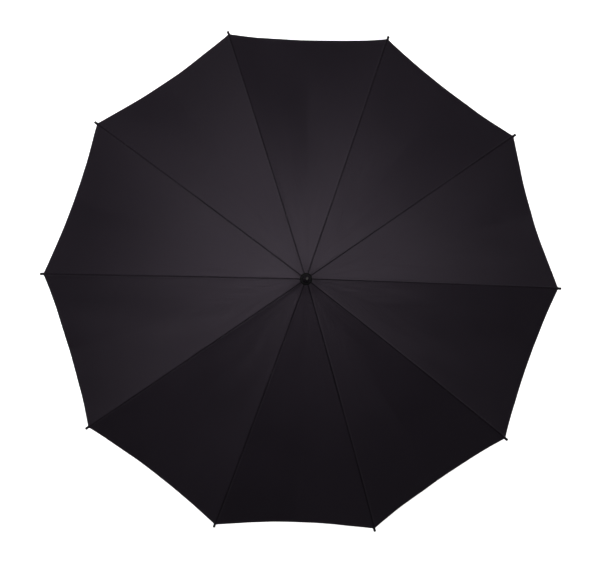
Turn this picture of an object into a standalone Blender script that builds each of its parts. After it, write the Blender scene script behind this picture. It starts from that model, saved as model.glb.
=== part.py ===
"""A golf umbrella, open, with ten fibreglass ribs and ten gores. Metres, +Z up.

The origin is the middle of the handle's end face and the shaft runs up +Z. Rib 1 lies along +X and
the others follow every 36 degrees. Every rib turns on the crown's wire ring, every stretcher turns
on its rib's bracket and reaches in to the runner, which slides down the shaft to close the canopy.
"""

import bmesh
import bpy
from math import acos, atan2, cos, degrees, exp, hypot, pi, radians, sin
from mathutils import Matrix, Vector

# How many ribs, stretchers, tips and gores
RIBS = 10
STEP = 2 * pi / RIBS

# Clearances
TOUCH_GAP = 0.0003      # between pieces that touch
PIVOT_GAP = 0.0003      # between a pin and its hole
SLIDE_GAP = 0.0003      # between the shaft and what slides or fits on it

# Shaft, handle and ferrule
SHAFT_R = 0.007
SHAFT_WALL = 0.001
SHAFT_RISE = 0.045      # from the crown wire to its end, inside the ferrule
FERRULE_RISE = 0.080    # from the crown wire to the ferrule's point
END_CAP_LIP = 0.0005    # how far the end cap stands out past the grip
END_CAP_H = 0.010
PLUG_LENGTH = 0.010
GRIP_R = 0.0160
GRIP_WAIST_R = 0.0150
GRIP_TOP = 0.168
COLLAR_H = 0.014
COLLAR_WALL = 0.0027    # at its top
FERRULE_WALL = 0.0017
FERRULE_NECK_WALL = 0.0011
FERRULE_POINT_R = 0.0042

# Crown, where the ribs hinge
CROWN_TOOTH = 0.0025    # how far the teeth stand past the wire
CROWN_CORE_WALL = 0.0015
CROWN_BELOW = 0.0040
CROWN_ABOVE = 0.0035
WIRE_R = 0.0006
EYE_THICK = 0.0024      # every flattened eye and tongue
EYE_R = 0.0025
SLOT_SIDE = 0.0003      # slot wall to what lies in it
EYE_SWING_GAP = 0.0007  # a turning eye to the crown's core
WASHER_OUT = 0.0010     # past the crown wire
WASHER_H = 0.0010
CAP_OUT = 0.0030        # past the crown wire
CAP_RIM_H = 0.0012
CAP_TOP_WALL = 0.0022
CAP_H = 0.0058

# Ribs
RIB_LENGTH = 0.7275     # crown wire to the outer end of the tip, along the rib
RIB_R = 0.0020
SLOPE_IN = radians(17)  # below horizontal, at the crown
SLOPE_OUT = radians(39)  # below horizontal, at the tip
EYE_LENGTH = 0.0085     # flattened crown end
BRACKET_AT = 0.330      # along the rib
BRACKET_LENGTH = 0.016
BRACKET_R = 0.0029
BRACKET_DROP = 0.0070   # rib axis to stretcher pivot
TIP_LENGTH = 0.0130
TIP_R = 0.0030
TIP_WALL_END = 0.0045   # solid end of the tip, past the rib rod

# Stretchers
STRETCHER_R = 0.0018
FORK_THICK = 0.0012
FORK_LENGTH = 0.0100
FORK_R = 0.0026
RIVET_R = 0.0009
RIVET_HEAD = 0.0004
RUNNER_EYE_R = 0.0019
RUNNER_EYE_LENGTH = 0.0060

# Runner
RUNNER_DROP = 0.290     # crown wire down to the runner's pivot circle, open
CLOSED_TIP_R = 0.026    # how close to the shaft's axis the rib ends come, closed
RUNNER_WALL = 0.0023
RUNNER_CORE_WALL = 0.0030
RUNNER_LIP = 0.0020     # flange, past the pivot circle
RUNNER_BELOW = 0.0040   # flange, below the pivot circle
RUNNER_ABOVE = 0.0040
RUNNER_LENGTH = 0.066
RUNNER_RIM_WALL = 0.0033
RUNNER_RIM_H = 0.008
PARKED_GAP = 0.0094     # closed runner's foot to the handle's collar
WINDOW_DROP = 0.040     # pivot circle to the window's foot

# Catches and stop
CATCH_THICK = 0.0022
CATCH_LEAF = 0.0010
CATCH_LEAF_GAP = 0.0014  # leaf to the shaft's inner wall
CATCH_NOSE_OUT = 0.0040
CATCH_NOSE_H = 0.014
CATCH_REACH = 0.045     # nose's flat face to the leaf's anchor
ANCHOR_H = 0.0020
CATCH_AZIMUTH = STEP / 2
STOP_R = 0.0010
STOP_OUT = 0.0025
STOP_AZIMUTH = STEP / 2 + pi / 2

# Canopy
CANOPY_THICK = 0.0012   # stands in for fabric of 0.15 mm
CANOPY_HOLE_GAP = 0.0012  # the fabric's edge to the cap's bore
CROWN_LIFT = 0.0036     # how the fabric rises over the crown
CROWN_LIFT_SPAN = 0.022
GORE_HOLLOW = 0.55      # curvature across a gore at the hem, per metre
HEM_SCALLOP = 0.0042    # how far the hem is cut back between two ribs
SKIN_GAP = 0.0007       # fabric to the brackets' tops, past what the facets cut off
GORE_ROWS = 9
GORE_COLUMNS = 6

# Tie strap, under the gore that follows this rib
STRAP_RIB = 7
STRAP_START = 0.47      # along the rib
STRAP_LENGTH = 0.170
STRAP_WIDTH = 0.016
STRAP_SIDE = 0.005      # from the seam
STRAP_THICK = 0.0012
STRAP_CLEAR = 0.0012    # from the canopy
SNAP_R = 0.0050
SNAP_H = 0.0020
SNAP_FROM_END = 0.012

ROUND = 24              # sides of a turned piece
SMALL_ROUND = 8         # sides of a thin rod
WIRE_SIDES = 6
RIB_STEPS = 9

# Worked out from the sizes above
BEND = (SLOPE_OUT - SLOPE_IN) / RIB_LENGTH
BORE_R = SHAFT_R + SLIDE_GAP
SHAFT_FOOT = END_CAP_H + TOUCH_GAP
COLLAR_TOP = GRIP_TOP + TOUCH_GAP + COLLAR_H
CROWN_CORE_R = BORE_R + CROWN_CORE_WALL
CROWN_WIRE_RING_R = CROWN_CORE_R + EYE_R + EYE_SWING_GAP
CAP_R = CROWN_WIRE_RING_R + CAP_OUT
CAP_TOP_R = BORE_R + CAP_TOP_WALL
CANOPY_INNER_R = BORE_R + CANOPY_HOLE_GAP
RUNNER_CORE_R = BORE_R + RUNNER_CORE_WALL
RUNNER_SLEEVE_R = BORE_R + RUNNER_WALL
RUNNER_RIM_R = BORE_R + RUNNER_RIM_WALL
RUNNER_WIRE_RING_R = RUNNER_CORE_R + WIRE_R + TOUCH_GAP
RUNNER_PIVOT_R = RUNNER_WIRE_RING_R + WIRE_R + TOUCH_GAP + RUNNER_EYE_R
RUNNER_FLANGE_R = RUNNER_PIVOT_R + RUNNER_LIP
CATCH_LEAF_X = SHAFT_R - SHAFT_WALL - CATCH_LEAF_GAP - CATCH_LEAF
TIP_START = RIB_LENGTH - TIP_LENGTH
ROD_END = RIB_LENGTH - TIP_WALL_END
HEM_AT = TIP_START - TOUCH_GAP
SKIN_OFFSET = BRACKET_R + SKIN_GAP


def clear_scene():
    for obj in list(bpy.data.objects):
        bpy.data.objects.remove(obj, do_unlink=True)


def material(name, colour, roughness, metallic=0.0):
    made = bpy.data.materials.new(name)
    made.use_nodes = True
    made.diffuse_color = (*colour, 1.0)
    shader = made.node_tree.nodes["Principled BSDF"]
    shader.inputs["Base Color"].default_value = (*colour, 1.0)
    shader.inputs["Roughness"].default_value = roughness
    shader.inputs["Metallic"].default_value = metallic
    return made


def link(name, mesh, finish=None):
    obj = bpy.data.objects.new(name, mesh)
    bpy.context.scene.collection.objects.link(obj)
    if finish is not None:
        mesh.materials.clear()
        mesh.materials.append(finish)
    return obj


def object_from(name, bm, finish=None):
    """Closes a bmesh into an object with its faces pointing out."""
    bmesh.ops.remove_doubles(bm, verts=bm.verts, dist=1e-7)
    bmesh.ops.recalc_face_normals(bm, faces=bm.faces)
    mesh = bpy.data.meshes.new(name)
    bm.to_mesh(mesh)
    bm.free()
    return link(name, mesh, finish)


def shade(obj, angle=radians(35)):
    obj.data.shade_smooth()
    obj.data.set_sharp_from_angle(angle=angle)
    return obj


def lathe(name, profile, finish=None, sides=ROUND):
    """Spins a closed outline of (radius, height) points about Z. Points on the axis close the shape."""
    bm = bmesh.new()
    points = [bm.verts.new((r, 0, z)) for r, z in profile]
    rim = []
    for a, b in zip(points, points[1:] + points[:1]):
        if a.co.x > 1e-9 or b.co.x > 1e-9:
            rim.append(bm.edges.new((a, b)))
    bmesh.ops.spin(bm, geom=points + rim, cent=(0, 0, 0), axis=(0, 0, 1), angle=2 * pi,
                   steps=sides, use_merge=True)
    return object_from(name, bm, finish)


def box(name, low, high, turn=None):
    bm = bmesh.new()
    bmesh.ops.create_cube(bm, size=1.0)
    for v in bm.verts:
        v.co = Vector([low[k] if v.co[k] < 0 else high[k] for k in range(3)])
    if turn is not None:
        bmesh.ops.transform(bm, matrix=turn, verts=bm.verts)
    return object_from(name, bm)


def bar(name, radius, start, end, sides=SMALL_ROUND):
    """A round bar between two points."""
    start, end = Vector(start), Vector(end)
    bm = bmesh.new()
    bmesh.ops.create_cone(bm, cap_ends=True, segments=sides, radius1=radius, radius2=radius,
                          depth=(end - start).length)
    turn = (end - start).to_track_quat("Z", "Y").to_matrix().to_4x4()
    bmesh.ops.transform(bm, matrix=Matrix.Translation((start + end) / 2) @ turn, verts=bm.verts)
    return object_from(name, bm)


def plate(name, outline, thickness):
    """An outline of (x, z) points, extruded to both sides of the XZ plane."""
    bm = bmesh.new()
    face = bm.faces.new([bm.verts.new((x, -thickness / 2, z)) for x, z in outline])
    moved = bmesh.ops.extrude_face_region(bm, geom=[face])["geom"]
    bmesh.ops.translate(bm, vec=(0, thickness, 0),
                        verts=[v for v in moved if isinstance(v, bmesh.types.BMVert)])
    return object_from(name, bm)


def ring_wire(name, ring_r, height, finish):
    """A round wire closed into a ring."""
    bm = bmesh.new()
    section = []
    for k in range(WIRE_SIDES):
        t = 2 * pi * k / WIRE_SIDES
        section.append(bm.verts.new((ring_r + WIRE_R * cos(t), 0, height + WIRE_R * sin(t))))
    edges = [bm.edges.new((a, b)) for a, b in zip(section, section[1:] + section[:1])]
    bmesh.ops.spin(bm, geom=section + edges, cent=(0, 0, 0), axis=(0, 0, 1), angle=2 * pi,
                   steps=3 * RIBS, use_merge=True)
    return shade(object_from(name, bm, finish))


def around(name, low, high, count, first=0.0):
    """One cutter with a box for each rib, turned about Z."""
    bm = bmesh.new()
    for k in range(count):
        made = bmesh.ops.create_cube(bm, size=1.0)["verts"]
        for v in made:
            v.co = Vector([low[i] if v.co[i] < 0 else high[i] for i in range(3)])
        bmesh.ops.transform(bm, matrix=Matrix.Rotation(first + k * 2 * pi / count, 4, "Z"), verts=made)
    return object_from(name, bm)


def combine(obj, others, operation):
    """Applies one exact boolean for each other object, and removes those objects."""
    for other in others:
        cut = obj.modifiers.new(operation.lower(), "BOOLEAN")
        cut.operation = operation
        cut.solver = "EXACT"
        cut.object = other
        bpy.context.view_layer.update()
        graph = bpy.context.evaluated_depsgraph_get()
        mesh = bpy.data.meshes.new_from_object(obj.evaluated_get(graph), depsgraph=graph)
        obj.modifiers.clear()
        obj.data = mesh
        bpy.data.objects.remove(other, do_unlink=True)
    mesh = obj.data
    bm = bmesh.new()
    bm.from_mesh(mesh)
    bmesh.ops.dissolve_limit(bm, angle_limit=radians(0.05), verts=bm.verts, edges=bm.edges)
    bm.to_mesh(mesh)
    bm.free()
    return obj


def empty_at(name, location, turn=0.0, parent=None):
    obj = bpy.data.objects.new(name, None)
    bpy.context.scene.collection.objects.link(obj)
    obj.empty_display_size = 0.01
    obj.parent = parent
    obj.location = location
    obj.rotation_euler = (0, 0, turn)
    return obj


def rib_point(s):
    """The rib's axis, s along it from the crown wire: distance from the shaft's axis, height over the wire."""
    if s < 0:
        return CROWN_WIRE_RING_R + s * cos(SLOPE_IN), -s * sin(SLOPE_IN)
    slope = SLOPE_IN + BEND * s
    return (CROWN_WIRE_RING_R + (sin(slope) - sin(SLOPE_IN)) / BEND,
            (cos(slope) - cos(SLOPE_IN)) / BEND)


def rib_slope(s):
    return SLOPE_IN + BEND * max(s, 0.0)


def beside_rib(s, out):
    """The point at distance out above the rib's axis, square to it."""
    x, z = rib_point(s)
    slope = rib_slope(s)
    return x + out * sin(slope), z + out * cos(slope)


def linkage():
    """The stretcher's pivot from the crown wire's height, its length and angle open, and what closing turns.

    Closed, the rib has turned until its end is CLOSED_TIP_R from the axis, and the stretcher still
    reaches from the rib's pivot to the runner's pivot circle.
    """
    px, pz = beside_rib(BRACKET_AT, -BRACKET_DROP)
    rise = pz + RUNNER_DROP
    length = hypot(px - RUNNER_PIVOT_R, rise)
    open_angle = atan2(rise, px - RUNNER_PIVOT_R)
    tx, tz = rib_point(RIB_LENGTH)
    out = tx - CROWN_WIRE_RING_R
    rib_turn = acos((CLOSED_TIP_R - CROWN_WIRE_RING_R) / hypot(out, tz)) - atan2(-tz, out)
    arm = px - CROWN_WIRE_RING_R
    closed_x = CROWN_WIRE_RING_R + arm * cos(rib_turn) + pz * sin(rib_turn)
    closed_z = pz * cos(rib_turn) - arm * sin(rib_turn)
    closed_angle = acos((closed_x - RUNNER_PIVOT_R) / length)
    travel = length * sin(closed_angle) - closed_z - RUNNER_DROP
    return px, pz, length, open_angle, rib_turn, closed_angle - open_angle, travel


PIVOT_X, PIVOT_DZ, STRETCHER_LENGTH, STRETCHER_ANGLE, RIB_TURN, STRETCHER_TURN, TRAVEL = linkage()
CROWN_Z = COLLAR_TOP + PARKED_GAP + RUNNER_LENGTH - RUNNER_ABOVE + TRAVEL + RUNNER_DROP
SHAFT_TOP = CROWN_Z + SHAFT_RISE
OVERALL = CROWN_Z + FERRULE_RISE
RUNNER_Z = CROWN_Z - RUNNER_DROP
RUNNER_FOOT = RUNNER_Z + RUNNER_ABOVE - RUNNER_LENGTH


def make_handle(foam, plastic):
    cap_r = GRIP_R + END_CAP_LIP
    lathe("handle_end_cap", [
        (0, 0), (cap_r - 0.002, 0), (cap_r, 0.002), (cap_r, END_CAP_H),
        (SHAFT_R - SHAFT_WALL - TOUCH_GAP, END_CAP_H),
        (SHAFT_R - SHAFT_WALL - TOUCH_GAP, END_CAP_H + PLUG_LENGTH), (0, END_CAP_H + PLUG_LENGTH)], plastic)
    foot = END_CAP_H + TOUCH_GAP
    rise = GRIP_TOP - foot
    outer = []
    for k in range(7):
        t = k / 6
        outer.append((GRIP_R - (GRIP_R - GRIP_WAIST_R) * sin(pi * t), foot + rise * t))
    lathe("handle_grip", [(BORE_R, foot)] + outer + [(BORE_R, GRIP_TOP)], foam)
    foot = GRIP_TOP + TOUCH_GAP
    lathe("handle_collar", [
        (BORE_R, foot), (GRIP_R, foot), (GRIP_R, foot + 0.4 * COLLAR_H),
        (BORE_R + COLLAR_WALL, COLLAR_TOP), (BORE_R, COLLAR_TOP)], plastic)
    for name in ("handle_end_cap", "handle_grip", "handle_collar"):
        shade(bpy.data.objects[name])


def catch_outline(flat_z, up):
    """The spring catch in its own plane. Its nose has its flat face at flat_z; up is 1 if that face looks up."""
    inner, leaf = CATCH_LEAF_X, CATCH_LEAF_X + CATCH_LEAF
    nose = SHAFT_R + CATCH_NOSE_OUT
    toe = SHAFT_R + 0.0006
    anchor_out = SHAFT_R - 0.0001
    points = [
        (inner, 0.0), (nose - 0.0008, 0.0), (nose, -0.0008), (nose, -0.0024), (toe, -CATCH_NOSE_H),
        (leaf, -CATCH_NOSE_H - 0.002), (leaf, -CATCH_REACH), (anchor_out, -CATCH_REACH),
        (anchor_out, -CATCH_REACH - ANCHOR_H), (inner, -CATCH_REACH - ANCHOR_H)]
    return [(x, flat_z + up * z) for x, z in points]


def make_catch(name, flat_z, up, steel):
    """The catch turns about its anchor, so its origin is there."""
    anchor_z = flat_z - up * (CATCH_REACH + ANCHOR_H / 2)
    hinge = Vector((CATCH_LEAF_X + CATCH_LEAF / 2, 0, anchor_z))
    obj = plate(name, [(x - hinge.x, z - hinge.z) for x, z in catch_outline(flat_z, up)], CATCH_THICK)
    obj.data.materials.append(steel)
    obj.location = Matrix.Rotation(CATCH_AZIMUTH, 3, "Z") @ hinge
    obj.rotation_euler = (0, 0, CATCH_AZIMUTH)
    return obj


def catch_slots(flat_z, up):
    """The nose's window and the anchor's hole in the shaft, for one catch."""
    half = CATCH_THICK / 2 + SLOT_SIDE
    turn = Matrix.Rotation(CATCH_AZIMUTH, 4, "Z")
    slots = []
    for near, far in ((TOUCH_GAP, -CATCH_NOSE_H - 0.004),
                      (-CATCH_REACH + TOUCH_GAP, -CATCH_REACH - ANCHOR_H - TOUCH_GAP)):
        low, high = sorted((flat_z + up * near, flat_z + up * far))
        slots.append(box("slot", (SHAFT_R / 3, -half, low), (2 * SHAFT_R, half, high), turn))
    return slots


def make_shaft(steel, catch_steel):
    tube = lathe("shaft_tube", [
        (SHAFT_R - SHAFT_WALL, SHAFT_FOOT), (SHAFT_R, SHAFT_FOOT),
        (SHAFT_R, SHAFT_TOP), (SHAFT_R - SHAFT_WALL, SHAFT_TOP)], steel)
    top_flat = RUNNER_FOOT - TOUCH_GAP
    bottom_flat = RUNNER_Z - TRAVEL - WINDOW_DROP + TOUCH_GAP
    make_catch("top_catch", top_flat, 1, catch_steel)
    make_catch("bottom_catch", bottom_flat, -1, catch_steel)
    stop_z = RUNNER_Z + RUNNER_ABOVE + TOUCH_GAP + STOP_R
    reach = SHAFT_R + STOP_OUT
    side = Vector((cos(STOP_AZIMUTH), sin(STOP_AZIMUTH), 0))
    up = Vector((0, 0, stop_z))
    hole = bar("stop_hole", STOP_R + PIVOT_GAP, up - 2 * side * SHAFT_R, up + 2 * side * SHAFT_R)
    combine(tube, catch_slots(top_flat, 1) + catch_slots(bottom_flat, -1) + [hole], "DIFFERENCE")
    shade(tube)
    pin = bar("stop_pin", STOP_R, up - side * reach, up + side * reach)
    pin.data.materials.append(catch_steel)
    shade(pin)


def make_crown(plastic, steel, felt):
    top, foot = CROWN_Z + CROWN_ABOVE, CROWN_Z - CROWN_BELOW
    outer = CROWN_WIRE_RING_R + CROWN_TOOTH
    notch = lathe("crown_notch", [(BORE_R, foot), (outer, foot), (outer, top), (BORE_R, top)], plastic)
    half = EYE_THICK / 2 + SLOT_SIDE
    slots = around("slots", (CROWN_CORE_R, -half, foot - 0.001), (2 * outer, half, top + 0.001), RIBS)
    groove_half = WIRE_R + TOUCH_GAP
    groove = lathe("groove", [
        (CROWN_WIRE_RING_R - groove_half, CROWN_Z - groove_half),
        (CROWN_WIRE_RING_R + groove_half, CROWN_Z - groove_half),
        (CROWN_WIRE_RING_R + groove_half, top + 0.001),
        (CROWN_WIRE_RING_R - groove_half, top + 0.001)])
    combine(notch, [slots, groove], "DIFFERENCE")
    shade(notch)
    ring_wire("crown_wire", CROWN_WIRE_RING_R, CROWN_Z, steel)
    low = top + TOUCH_GAP
    edge = CROWN_WIRE_RING_R + WASHER_OUT
    washer = lathe("canopy_washer", [
        (BORE_R, low), (edge, low), (edge, low + WASHER_H), (BORE_R, low + WASHER_H)], felt)
    shade(washer)


def make_cap_and_ferrule(plastic, metal):
    """The rosette that presses the fabric on the crown, and the ferrule on the shaft's end."""
    rim = skin_height(CAP_R) + CANOPY_THICK + 2 * TOUCH_GAP
    hub = skin_height(CANOPY_INNER_R) + CANOPY_THICK + 2 * TOUCH_GAP
    top = hub + CAP_H
    lathe("top_cap", [
        (BORE_R, hub), (CAP_R, rim), (CAP_R, rim + CAP_RIM_H),
        (0.6 * CAP_R + 0.4 * CAP_TOP_R, 0.45 * rim + 0.55 * top), (CAP_TOP_R, top), (BORE_R, top)], plastic)
    foot = top + TOUCH_GAP
    roof = SHAFT_TOP + TOUCH_GAP
    base = BORE_R + FERRULE_WALL
    neck = BORE_R + FERRULE_NECK_WALL
    lathe("ferrule", [
        (0, roof), (BORE_R, roof), (BORE_R, foot), (base, foot), (base, foot + 0.003),
        (neck, foot + 0.007), (neck, roof + 0.003), (0.55 * neck + 0.45 * FERRULE_POINT_R, roof + 0.010),
        (FERRULE_POINT_R, OVERALL - 0.006), (0.8 * FERRULE_POINT_R, OVERALL - 0.0018),
        (0.45 * FERRULE_POINT_R, OVERALL), (0, OVERALL)], metal, sides=24)
    for name in ("top_cap", "ferrule"):
        shade(bpy.data.objects[name])


def make_runner(plastic, steel, parent):
    """Sleeve with a slotted flange for the stretchers' eyes, and the wire ring in the flange."""
    top = RUNNER_Z + RUNNER_ABOVE
    foot = RUNNER_FOOT
    flange_foot = RUNNER_Z - RUNNER_BELOW
    runner = lathe("runner", [
        (BORE_R, foot), (RUNNER_RIM_R, foot), (RUNNER_RIM_R, foot + RUNNER_RIM_H),
        (RUNNER_SLEEVE_R, foot + 1.3 * RUNNER_RIM_H), (RUNNER_SLEEVE_R, flange_foot),
        (RUNNER_FLANGE_R, flange_foot), (RUNNER_FLANGE_R, top), (BORE_R, top)], plastic)
    half = STRETCHER_R + SLOT_SIDE
    slots = around("slots", (RUNNER_CORE_R, -half, flange_foot - 0.001),
                   (2 * RUNNER_FLANGE_R, half, top + 0.001), RIBS)
    groove_half = WIRE_R + TOUCH_GAP
    groove = lathe("groove", [
        (RUNNER_WIRE_RING_R - groove_half, RUNNER_Z - groove_half),
        (RUNNER_WIRE_RING_R + groove_half, RUNNER_Z - groove_half),
        (RUNNER_WIRE_RING_R + groove_half, top + 0.001),
        (RUNNER_WIRE_RING_R - groove_half, top + 0.001)])
    window_half = CATCH_THICK / 2 + SLOT_SIDE
    window = box("window", (SHAFT_R / 2, -window_half, RUNNER_Z - WINDOW_DROP),
                 (2 * SHAFT_R, window_half, RUNNER_Z - WINDOW_DROP + CATCH_NOSE_H + 0.004),
                 Matrix.Rotation(CATCH_AZIMUTH, 4, "Z"))
    combine(runner, [slots, groove, window], "DIFFERENCE")
    shade(runner)
    wire = ring_wire("runner_wire", RUNNER_WIRE_RING_R, RUNNER_Z, steel)
    for obj in (runner, wire):
        obj.data.transform(Matrix.Translation((0, 0, -RUNNER_Z)))
        obj.parent = parent


def rib_rod():
    """The rod, swept along the rib's arc in the hinge's own frame."""
    bm = bmesh.new()
    rings = []
    start = EYE_LENGTH - 0.003
    for k in range(RIB_STEPS + 1):
        s = start + (ROD_END - start) * k / RIB_STEPS
        x, z = rib_point(s)
        slope = rib_slope(s)
        ring = []
        for j in range(SMALL_ROUND):
            t = 2 * pi * j / SMALL_ROUND
            out = RIB_R * cos(t)
            ring.append(bm.verts.new((x - CROWN_WIRE_RING_R + out * sin(slope), RIB_R * sin(t),
                                      z + out * cos(slope))))
        rings.append(ring)
    for a, b in zip(rings, rings[1:]):
        for j in range(SMALL_ROUND):
            k = (j + 1) % SMALL_ROUND
            bm.faces.new((a[j], a[k], b[k], b[j]))
    bm.faces.new(rings[0][::-1])
    bm.faces.new(rings[-1])
    return object_from("rib_rod", bm)


def eye_outline(radius, length, half_depth, turn, sides=6):
    """A flat eye: a round end about the pivot and a straight tail of the given length, turned in XZ."""
    points = []
    for k in range(sides + 1):
        t = pi / 2 + pi * k / sides
        points.append((radius * cos(t), radius * sin(t)))
    points += [(length, -half_depth), (length, half_depth)]
    return [(x * cos(turn) - z * sin(turn), x * sin(turn) + z * cos(turn)) for x, z in points]


def make_rib_mesh():
    """Rod, crown eye and bracket, which are crimped fast and so are one solid."""
    rib = rib_rod()
    eye = plate("eye", eye_outline(EYE_R, EYE_LENGTH, EYE_R, -SLOPE_IN), EYE_THICK)
    mid = BRACKET_AT
    slope = rib_slope(mid)
    ends = []
    for s in (mid - BRACKET_LENGTH / 2, mid + BRACKET_LENGTH / 2):
        x, z = rib_point(s)
        ends.append((x - CROWN_WIRE_RING_R, 0, z))
    sleeve = bar("sleeve", BRACKET_R, ends[0], ends[1])
    tongue = plate("tongue", eye_outline(EYE_R, BRACKET_DROP, EYE_R, pi / 2 - slope), EYE_THICK)
    pivot = Vector((PIVOT_X - CROWN_WIRE_RING_R, 0, PIVOT_DZ))
    tongue.data.transform(Matrix.Translation(pivot))
    combine(rib, [sleeve, tongue, eye], "UNION")
    side = Vector((0, EYE_THICK, 0))
    wire_hole = bar("wire_hole", WIRE_R + PIVOT_GAP, -side, side)
    rivet_hole = bar("rivet_hole", RIVET_R + PIVOT_GAP, pivot - side, pivot + side)
    combine(rib, [wire_hole, rivet_hole], "DIFFERENCE")
    mesh = shade(rib).data
    bpy.data.objects.remove(rib, do_unlink=True)
    return mesh


def make_stretcher_mesh():
    """Rod with a fork and its rivet at the bracket, at the origin, and an eye at the runner's end."""
    inner = EYE_THICK / 2 + SLOT_SIDE
    outer = inner + FORK_THICK
    fork = plate("fork", eye_outline(FORK_R, FORK_LENGTH + 0.005, FORK_R, 0), 2 * outer)
    throat = box("throat", (-2 * FORK_R, -inner, -2 * FORK_R), (FORK_LENGTH, inner, 2 * FORK_R))
    combine(fork, [throat], "DIFFERENCE")
    rivet = bar("rivet", RIVET_R, (0, -outer - RIVET_HEAD, 0), (0, outer + RIVET_HEAD, 0))
    rod_start = FORK_LENGTH + 0.002
    rod_end = STRETCHER_LENGTH - RUNNER_EYE_LENGTH + 0.002
    rod = bar("rod", STRETCHER_R, (rod_start, 0, 0), (rod_end, 0, 0))
    eye = plate("eye", eye_outline(RUNNER_EYE_R, RUNNER_EYE_LENGTH, RUNNER_EYE_R - 0.0003, pi), EYE_THICK)
    eye.data.transform(Matrix.Translation((STRETCHER_LENGTH, 0, 0)))
    combine(fork, [rivet, rod, eye], "UNION")
    mesh = shade(fork).data
    bpy.data.objects.remove(fork, do_unlink=True)
    return mesh


def make_tip_mesh():
    """A socket over the rod's end with a rounded nose, turned about the rib's axis at its end."""
    bore = RIB_R + TOUCH_GAP
    depth = TIP_LENGTH - TIP_WALL_END + TOUCH_GAP
    tip = lathe("tip", [
        (bore, 0), (TIP_R, 0), (TIP_R, 0.002), (0.85 * TIP_R, TIP_LENGTH - 0.005),
        (TIP_R, TIP_LENGTH - 0.0025), (0.6 * TIP_R, TIP_LENGTH),
        (0, TIP_LENGTH), (0, depth), (bore, depth)], sides=SMALL_ROUND)
    x, z = rib_point(TIP_START)
    slope = rib_slope(TIP_START)
    tip.data.transform(Matrix.Translation((x - CROWN_WIRE_RING_R, 0, z))
                       @ Matrix.Rotation(pi / 2 + slope, 4, "Y"))
    mesh = shade(tip).data
    bpy.data.objects.remove(tip, do_unlink=True)
    return mesh


def crown_lift(x):
    return CROWN_LIFT * exp(-(((x - CANOPY_INNER_R) / CROWN_LIFT_SPAN) ** 2))


def skin_height(x):
    """Height of the fabric's underside over a rib, near the crown, at distance x from the shaft's axis."""
    s = (x - CROWN_WIRE_RING_R) / cos(SLOPE_IN)
    return CROWN_Z + rib_point(s)[1] + SKIN_OFFSET / cos(SLOPE_IN) + crown_lift(x)


def gore_point(s, t, out=0.0):
    """A point of the gore that starts at rib 1's seam (t = 0) and ends at rib 2's (t = 1), from its hinge.

    Straight across from rib to rib, pressed hollow between them, with the hem cut back in the middle.
    out is a distance square to the fabric, upwards.
    """
    belly = 4 * t * (1 - t)
    run = max(s, 0.0) / HEM_AT
    s -= HEM_SCALLOP * belly * run ** 6
    x, z = beside_rib(s, SKIN_OFFSET)
    slope = rib_slope(s)
    z += crown_lift(x)
    width = 2 * x * sin(STEP / 2)
    press = GORE_HOLLOW * width * width / 8 * belly - out
    a = Vector((x, 0, z))
    b = Vector((x * cos(STEP), x * sin(STEP), z))
    normal = Vector((sin(slope) * cos(STEP / 2), sin(slope) * sin(STEP / 2), cos(slope)))
    return a.lerp(b, t) - normal * press - Vector((CROWN_WIRE_RING_R, 0, 0))


def sheet_object(name, rows, thickness, finish):
    """A grid of points made a sheet, thickened upwards."""
    bm = bmesh.new()
    grid = [[bm.verts.new(p) for p in row] for row in rows]
    for a, b in zip(grid, grid[1:]):
        for j in range(len(a) - 1):
            bm.faces.new((a[j], b[j], b[j + 1], a[j + 1]))
    mesh = bpy.data.meshes.new(name)
    bm.to_mesh(mesh)
    bm.free()
    obj = link(name, mesh, finish)
    thick = obj.modifiers.new("thickness", "SOLIDIFY")
    thick.thickness = thickness
    thick.offset = 1.0
    return shade(obj)


def make_gore_mesh(fabric):
    start = (CANOPY_INNER_R - CROWN_WIRE_RING_R) / cos(SLOPE_IN)
    rows = []
    for i in range(GORE_ROWS + 1):
        s = start + (HEM_AT - start) * (i / GORE_ROWS) ** 1.35
        width = 2 * beside_rib(s, SKIN_OFFSET)[0] * sin(STEP / 2)
        seam = TOUCH_GAP / 2 / cos(STEP / 2) / width
        row = []
        for j in range(GORE_COLUMNS + 1):
            t = seam + (1 - 2 * seam) * j / GORE_COLUMNS
            row.append(gore_point(s, t))
        rows.append(row)
    gore = sheet_object("gore", rows, CANOPY_THICK, fabric)
    mesh = gore.data
    bpy.data.objects.remove(gore, do_unlink=True)
    return mesh


def make_strap(fabric, metal, hinge):
    """A tie strap sewn to the gore's underside beside its seam, and the snap on its free end."""
    under = -STRAP_CLEAR - STRAP_THICK
    rows = []
    for i in range(9):
        s = STRAP_START + STRAP_LENGTH * i / 8
        width = 2 * beside_rib(s, SKIN_OFFSET)[0] * sin(STEP / 2)
        row = []
        for j in range(3):
            t = (STRAP_SIDE + STRAP_WIDTH * j / 2) / width
            row.append(gore_point(s, t, under))
        rows.append(row)
    strap = sheet_object("tie_strap", rows, STRAP_THICK, fabric)
    strap.parent = hinge
    s = STRAP_START + STRAP_LENGTH - SNAP_FROM_END
    width = 2 * beside_rib(s, SKIN_OFFSET)[0] * sin(STEP / 2)
    t = (STRAP_SIDE + STRAP_WIDTH / 2) / width
    centre = gore_point(s, t, under)
    slope = rib_slope(s)
    down = -Vector((sin(slope) * cos(STEP / 2), sin(slope) * sin(STEP / 2), cos(slope)))
    snap = lathe("tie_snap", [
        (0, TOUCH_GAP * 2), (SNAP_R, TOUCH_GAP * 2), (SNAP_R, SNAP_H * 0.6), (SNAP_R * 0.7, SNAP_H),
        (0, SNAP_H)], metal, sides=16)
    turn = down.to_track_quat("Z", "Y").to_matrix().to_4x4()
    snap.data.transform(Matrix.Translation(centre) @ turn)
    shade(snap)
    snap.parent = hinge


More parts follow.
